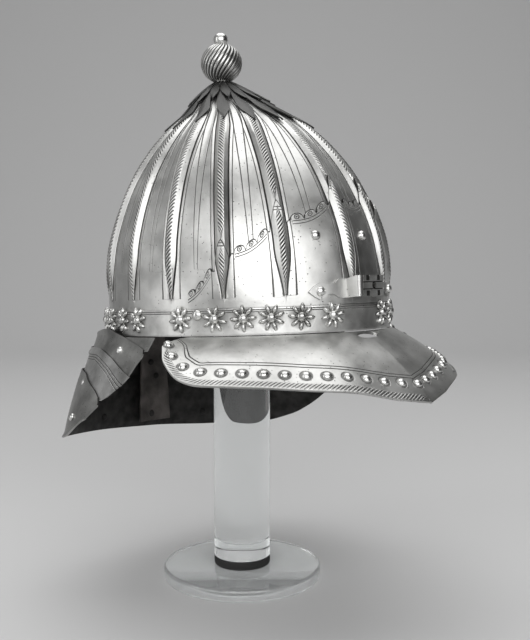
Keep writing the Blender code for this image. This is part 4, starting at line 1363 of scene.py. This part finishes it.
# fromStar darkens the band under and round each rosette: painted shade between the rays
bandSteel = handPolishedSteel("hand polished band steel", {
    "stain": "#9c9c9a",
    "pitRare": 0.65,
    "lines": (("bandHeight", 5.6, 0.25, 0.85), ("bandHeight", 4.2, 0.25, 0.8), ("fromStar", 0.0, 7.6, 0.7)),
})
starSteel = handPolishedSteel("filed rosette steel", {
    "stain": "#8f8f8d", "roughness": 0.24, "hammer": 0.1, "pitRare": 0.9,
})
# fromRivet paints a shadow ring round each rivet head
peakSteel = handPolishedSteel("hand polished peak steel", {
    "bright": "#c6c6c4", "stain": "#9e9e9c", "pitRare": 0.66, "roughness": 0.34,
    "lines": (("fromEdge", 14.6, 0.30, 0.9), ("fromEdge", 16.4, 0.30, 0.85), ("fromRivet", 3.9, 0.6, 0.6)),
})
lameLook = {
    "bright": "#adadab", "stain": "#757573", "pitRare": 0.60, "roughness": 0.36,
}
lameSteel = handPolishedSteel("dulled lame steel", lameLook)
linedLameSteel = handPolishedSteel("dulled lame steel with cut lines", {
    **lameLook, "bright": "#cccccb", "stain": "#8e8e8c",
    "lines": (("fromTop", 5.2, 0.28, 0.85), ("fromTop", 6.9, 0.28, 0.85), ("fromTop", 8.6, 0.28, 0.8)),
})
bracketSteel = handPolishedSteel("filed bracket steel", {
    "hammer": 0.1, "lines": (("cut", 1.0, 0.5, 0.95),),
})
headSteel = handPolishedSteel("burnished rivet steel", {
    "bright": "#dededc", "roughness": 0.24, "hammer": 0.1, "pitRare": 0.9,
})
# Its groove setting paints shade into the flute valleys
fluteSteel = handPolishedSteel("fluted finial steel", {
    "stain": "#9a9a98", "roughness": 0.25, "hammer": 0.05, "groove": 0.9, "pitRare": 0.95,
})
leafSteel = handPolishedSteel("dark leaf steel", {
    "bright": "#5c5c5b", "stain": "#4a4a49", "roughness": 0.45, "hammer": 0.2,
})


def mottled(name, look):
    # Rough stuff of two tones, with a bump from the same cloud or from small cells
    material, tree, shader, place = newMaterial(name, look["surface"])
    scale, detail = look["cloud"]
    cloud = addNode(tree, "TexNoise", {"Scale": scale, "Detail": detail}, place)
    tone = addNode(tree, "ValToRGB", {}, {"Fac": cloud}, look["tones"])
    grain = cloud
    if "cells" in look:
        grain = addNode(tree, "TexVoronoi", {"Scale": look["cells"]}, place)
    strength, distance = look["bump"]
    bump = addNode(tree, "Bump", {"Strength": strength, "Distance": distance},
                   {"Height": grain})
    tree.links.new(tone.outputs["Color"], shader.inputs["Base Color"])
    tree.links.new(bump.outputs[0], shader.inputs["Normal"])
    return material


def clearAcrylic(name, clear):
    # Polished cast acrylic with a breath of fine scratches; below full clearness the rest shows as milky
    # white, which on the base is painted light
    material, tree, shader, place = newMaterial(name, {
        "Base Color": hexToLinear("#f4f6f6"), "Transmission Weight": clear, "IOR": 1.49,
    })
    haze = addNode(tree, "TexNoise", {"Scale": 90.0, "Detail": 3.0}, place)
    rough = addNode(tree, "MapRange",
                    {"From Min": 0.4, "From Max": 0.7, "To Min": 0.0, "To Max": 0.03}, {"Value": haze})
    tree.links.new(rough.outputs[0], shader.inputs["Roughness"])
    return material


# Near black steel with uneven mottling: the lames' inside faces, the inner rivet heads, and the painted
# shadow disc in the bracket's hole
darkInsidesAndHoleShadow = mottled("dark insides and hole shadow", {
    "surface": {"Metallic": 0.6, "Roughness": 0.6},
    "cloud": (120.0, 4.0),
    "tones": ((0.35, "#1a1918"), (0.70, "#3a3938")),
    "bump": (0.4, 0.0004),
})
dryLeather = mottled("dry dark leather", {
    "surface": {"Roughness": 0.7},
    "cloud": (60.0, 4.0),
    "tones": ((0.35, "#2a2624"), (0.68, "#5a5552")),
    "cells": 700.0,
    "bump": (0.35, 0.0003),
})
blackFelt = mottled("black felt", {
    "surface": {"Roughness": 0.9},
    "cloud": (1500.0, 2.0),
    "tones": ((0.0, "#0c0c0c"), (1.0, "#2a2a2a")),
    "bump": (0.5, 0.0002),
})
# The base is a tenth milky white: painted light standing in for the brightness seen through the clear disc
baseAcrylicWithPaintedLight = clearAcrylic("clear acrylic with painted light", 0.90)
polishedAcrylic = clearAcrylic("polished clear acrylic", 0.97)

makeSkull(skullSteel)
print("skull bowl made")
makeRidgeRopes(ropeSteel)
makeBrowPlate(plateSteel)
makePlateRopes(ropeSteel)
print("brow plate made")
makeBand(bandSteel)
makeRosettes(starSteel)
print("band and rosettes made")
makePeak(peakSteel, ropeSteel, headSteel)
print("peak made")
makeBracket(bracketSteel, darkInsidesAndHoleShadow)

# name, node, angle, height, how far it stands off and its radius
rivets = (
    ("bracketRivetRight", "bracket_rivet_right", 20.4, 16.2, bracket["standOff"], 3.4),
    ("bracketRivetLeft", "bracket_rivet_left", -22.4, 16.2, bracket["standOff"], 3.4),
    ("browRivetRight", "brow_rivet_right", 19.25, 54.0, browPlate["standOff"] - 0.7, 3.6),
    ("browRivetCentre", "brow_rivet_centre", -6.25, 54.0, browPlate["standOff"] - 0.7, 3.6),
    ("bandRivet", "band_rivet", 65.6, 3.0, band["standOff"], 3.9),
)
for name, node, angle, height, offset, radius in rivets:
    place, normal = skullSurface(angle, height, offset), outwardFrame(angle, height)[:, 2]
    makeHeads(name, [place], [normal], radius, radius * 0.72, headSteel, "bright_steel", [node])
print("bracket and rivets made")
makeFinial(fluteSteel, headSteel)
makeLeaves("leavesLower", leaves["lower"], leafSteel, "leaf_rosette_lower")
makeLeaves("leavesUpper", leaves["upper"], leafSteel, "leaf_rosette_upper")
print("finial and leaves made")
makeLames(lameSteel, linedLameSteel, darkInsidesAndHoleShadow)
makeGuardRivets(headSteel)
makeLining(dryLeather, darkInsidesAndHoleShadow)
print("neck guard made")
makeStand(baseAcrylicWithPaintedLight, polishedAcrylic, blackFelt)
print("stand made")


# Studio: pale floor that sweeps up behind, soft lights, the photograph's camera

studio = {
    "floorDrop": 0.4,
    # millimetres: where the paper starts, is flat to, its bend, its top and half its width
    "paper": (-1600.0, 1300.0, 900.0, 2600.0, 2600.0),
    # name, place, aim, size and power
    "lights": (
        ("front box", (-0.95, -1.30, 0.95), (0, 0, 0.25), (2.2, 1.3), 28.0),
        ("left strip", (-1.3, 0.55, 0.6), (0, 0, 0.25), (0.35, 1.2), 3.8),
        ("top box", (0.2, 0.2, 1.8), (0, 0, 0.2), (1.8, 1.8), 20.0),
    ),
    "camera": (-0.5217, -0.5613, 0.2812),
    "tilt": 84.2,
    "swing": -44.26,
    "lens": 55.8,
}


def paleFloor():
    # Paper that lies flat under the stand and sweeps up far behind it
    start, flat, radius, high, half = studio["paper"]
    turns = np.radians(np.linspace(0.0, 90.0, 40))
    run = [start, start + 1000.0, 0.0, flat] + [flat + radius * math.sin(t) for t in turns[1:]]
    rise = [0.0] * 4 + [radius - radius * math.cos(t) for t in turns[1:]]
    run.append(flat + radius)
    rise.append(high)
    across = np.linspace(-half, half, 9)
    swing = math.radians(-studio["swing"])
    run, rise = np.array(run)[:, None], np.array(rise)[:, None] - studio["floorDrop"]
    grid = np.stack((
        run * math.sin(swing) + across[None, :] * math.cos(swing),
        run * math.cos(swing) - across[None, :] * math.sin(swing),
        rise + 0.0 * across[None, :],
    ), axis=-1)
    floor = sheet("studioPaper", grid)
    faceUp(floor)
    paper = newMaterial("pale studio paper", {"Base Color": hexToLinear("#c4c4c4"), "Roughness": 0.9})
    floor.data.materials.append(paper[0])
    smoothBy(floor, 40.0)


def softLight(name, place, aim, size, power):
    lamp = bpy.data.lights.new(name, "AREA")
    lamp.shape = "RECTANGLE"
    lamp.size, lamp.size_y = size
    lamp.energy = power
    made = bpy.data.objects.new(name, lamp)
    bpy.context.scene.collection.objects.link(made)
    made.location = place
    made.rotation_euler = (Vector(aim) - Vector(place)).to_track_quat("-Z", "Y").to_euler()


paleFloor()
world = bpy.data.worlds.new("studio air")
world.use_nodes = True
air = world.node_tree
direction = addNode(air, "TexCoord").outputs["Generated"]
toRight = addNode(air, "VectorMath", {"operation": "DOT_PRODUCT", 1: (0.72, -0.69, -0.15)},
                  {0: direction})
falloff = addNode(air, "MapRange",
                  {"From Min": -0.25, "From Max": 0.75, "To Min": 0.75, "To Max": 0.10},
                  {"Value": toRight.outputs["Value"]})
backdrop = air.nodes["Background"]
backdrop.inputs["Color"].default_value = hexToLinear("#b4b4b4")
air.links.new(falloff.outputs[0], backdrop.inputs["Strength"])
bpy.context.scene.world = world
for light in studio["lights"]:
    softLight(*light)

camera = bpy.data.cameras.new("photograph")
camera.lens = studio["lens"]
camera.sensor_width = 36.0
viewer = bpy.data.objects.new("photograph", camera)
bpy.context.scene.collection.objects.link(viewer)
viewer.location = studio["camera"]
viewer.rotation_euler = (math.radians(studio["tilt"]), 0.0, math.radians(studio["swing"]))
bpy.context.scene.camera = viewer
bpy.context.scene.view_settings.view_transform = "Standard"
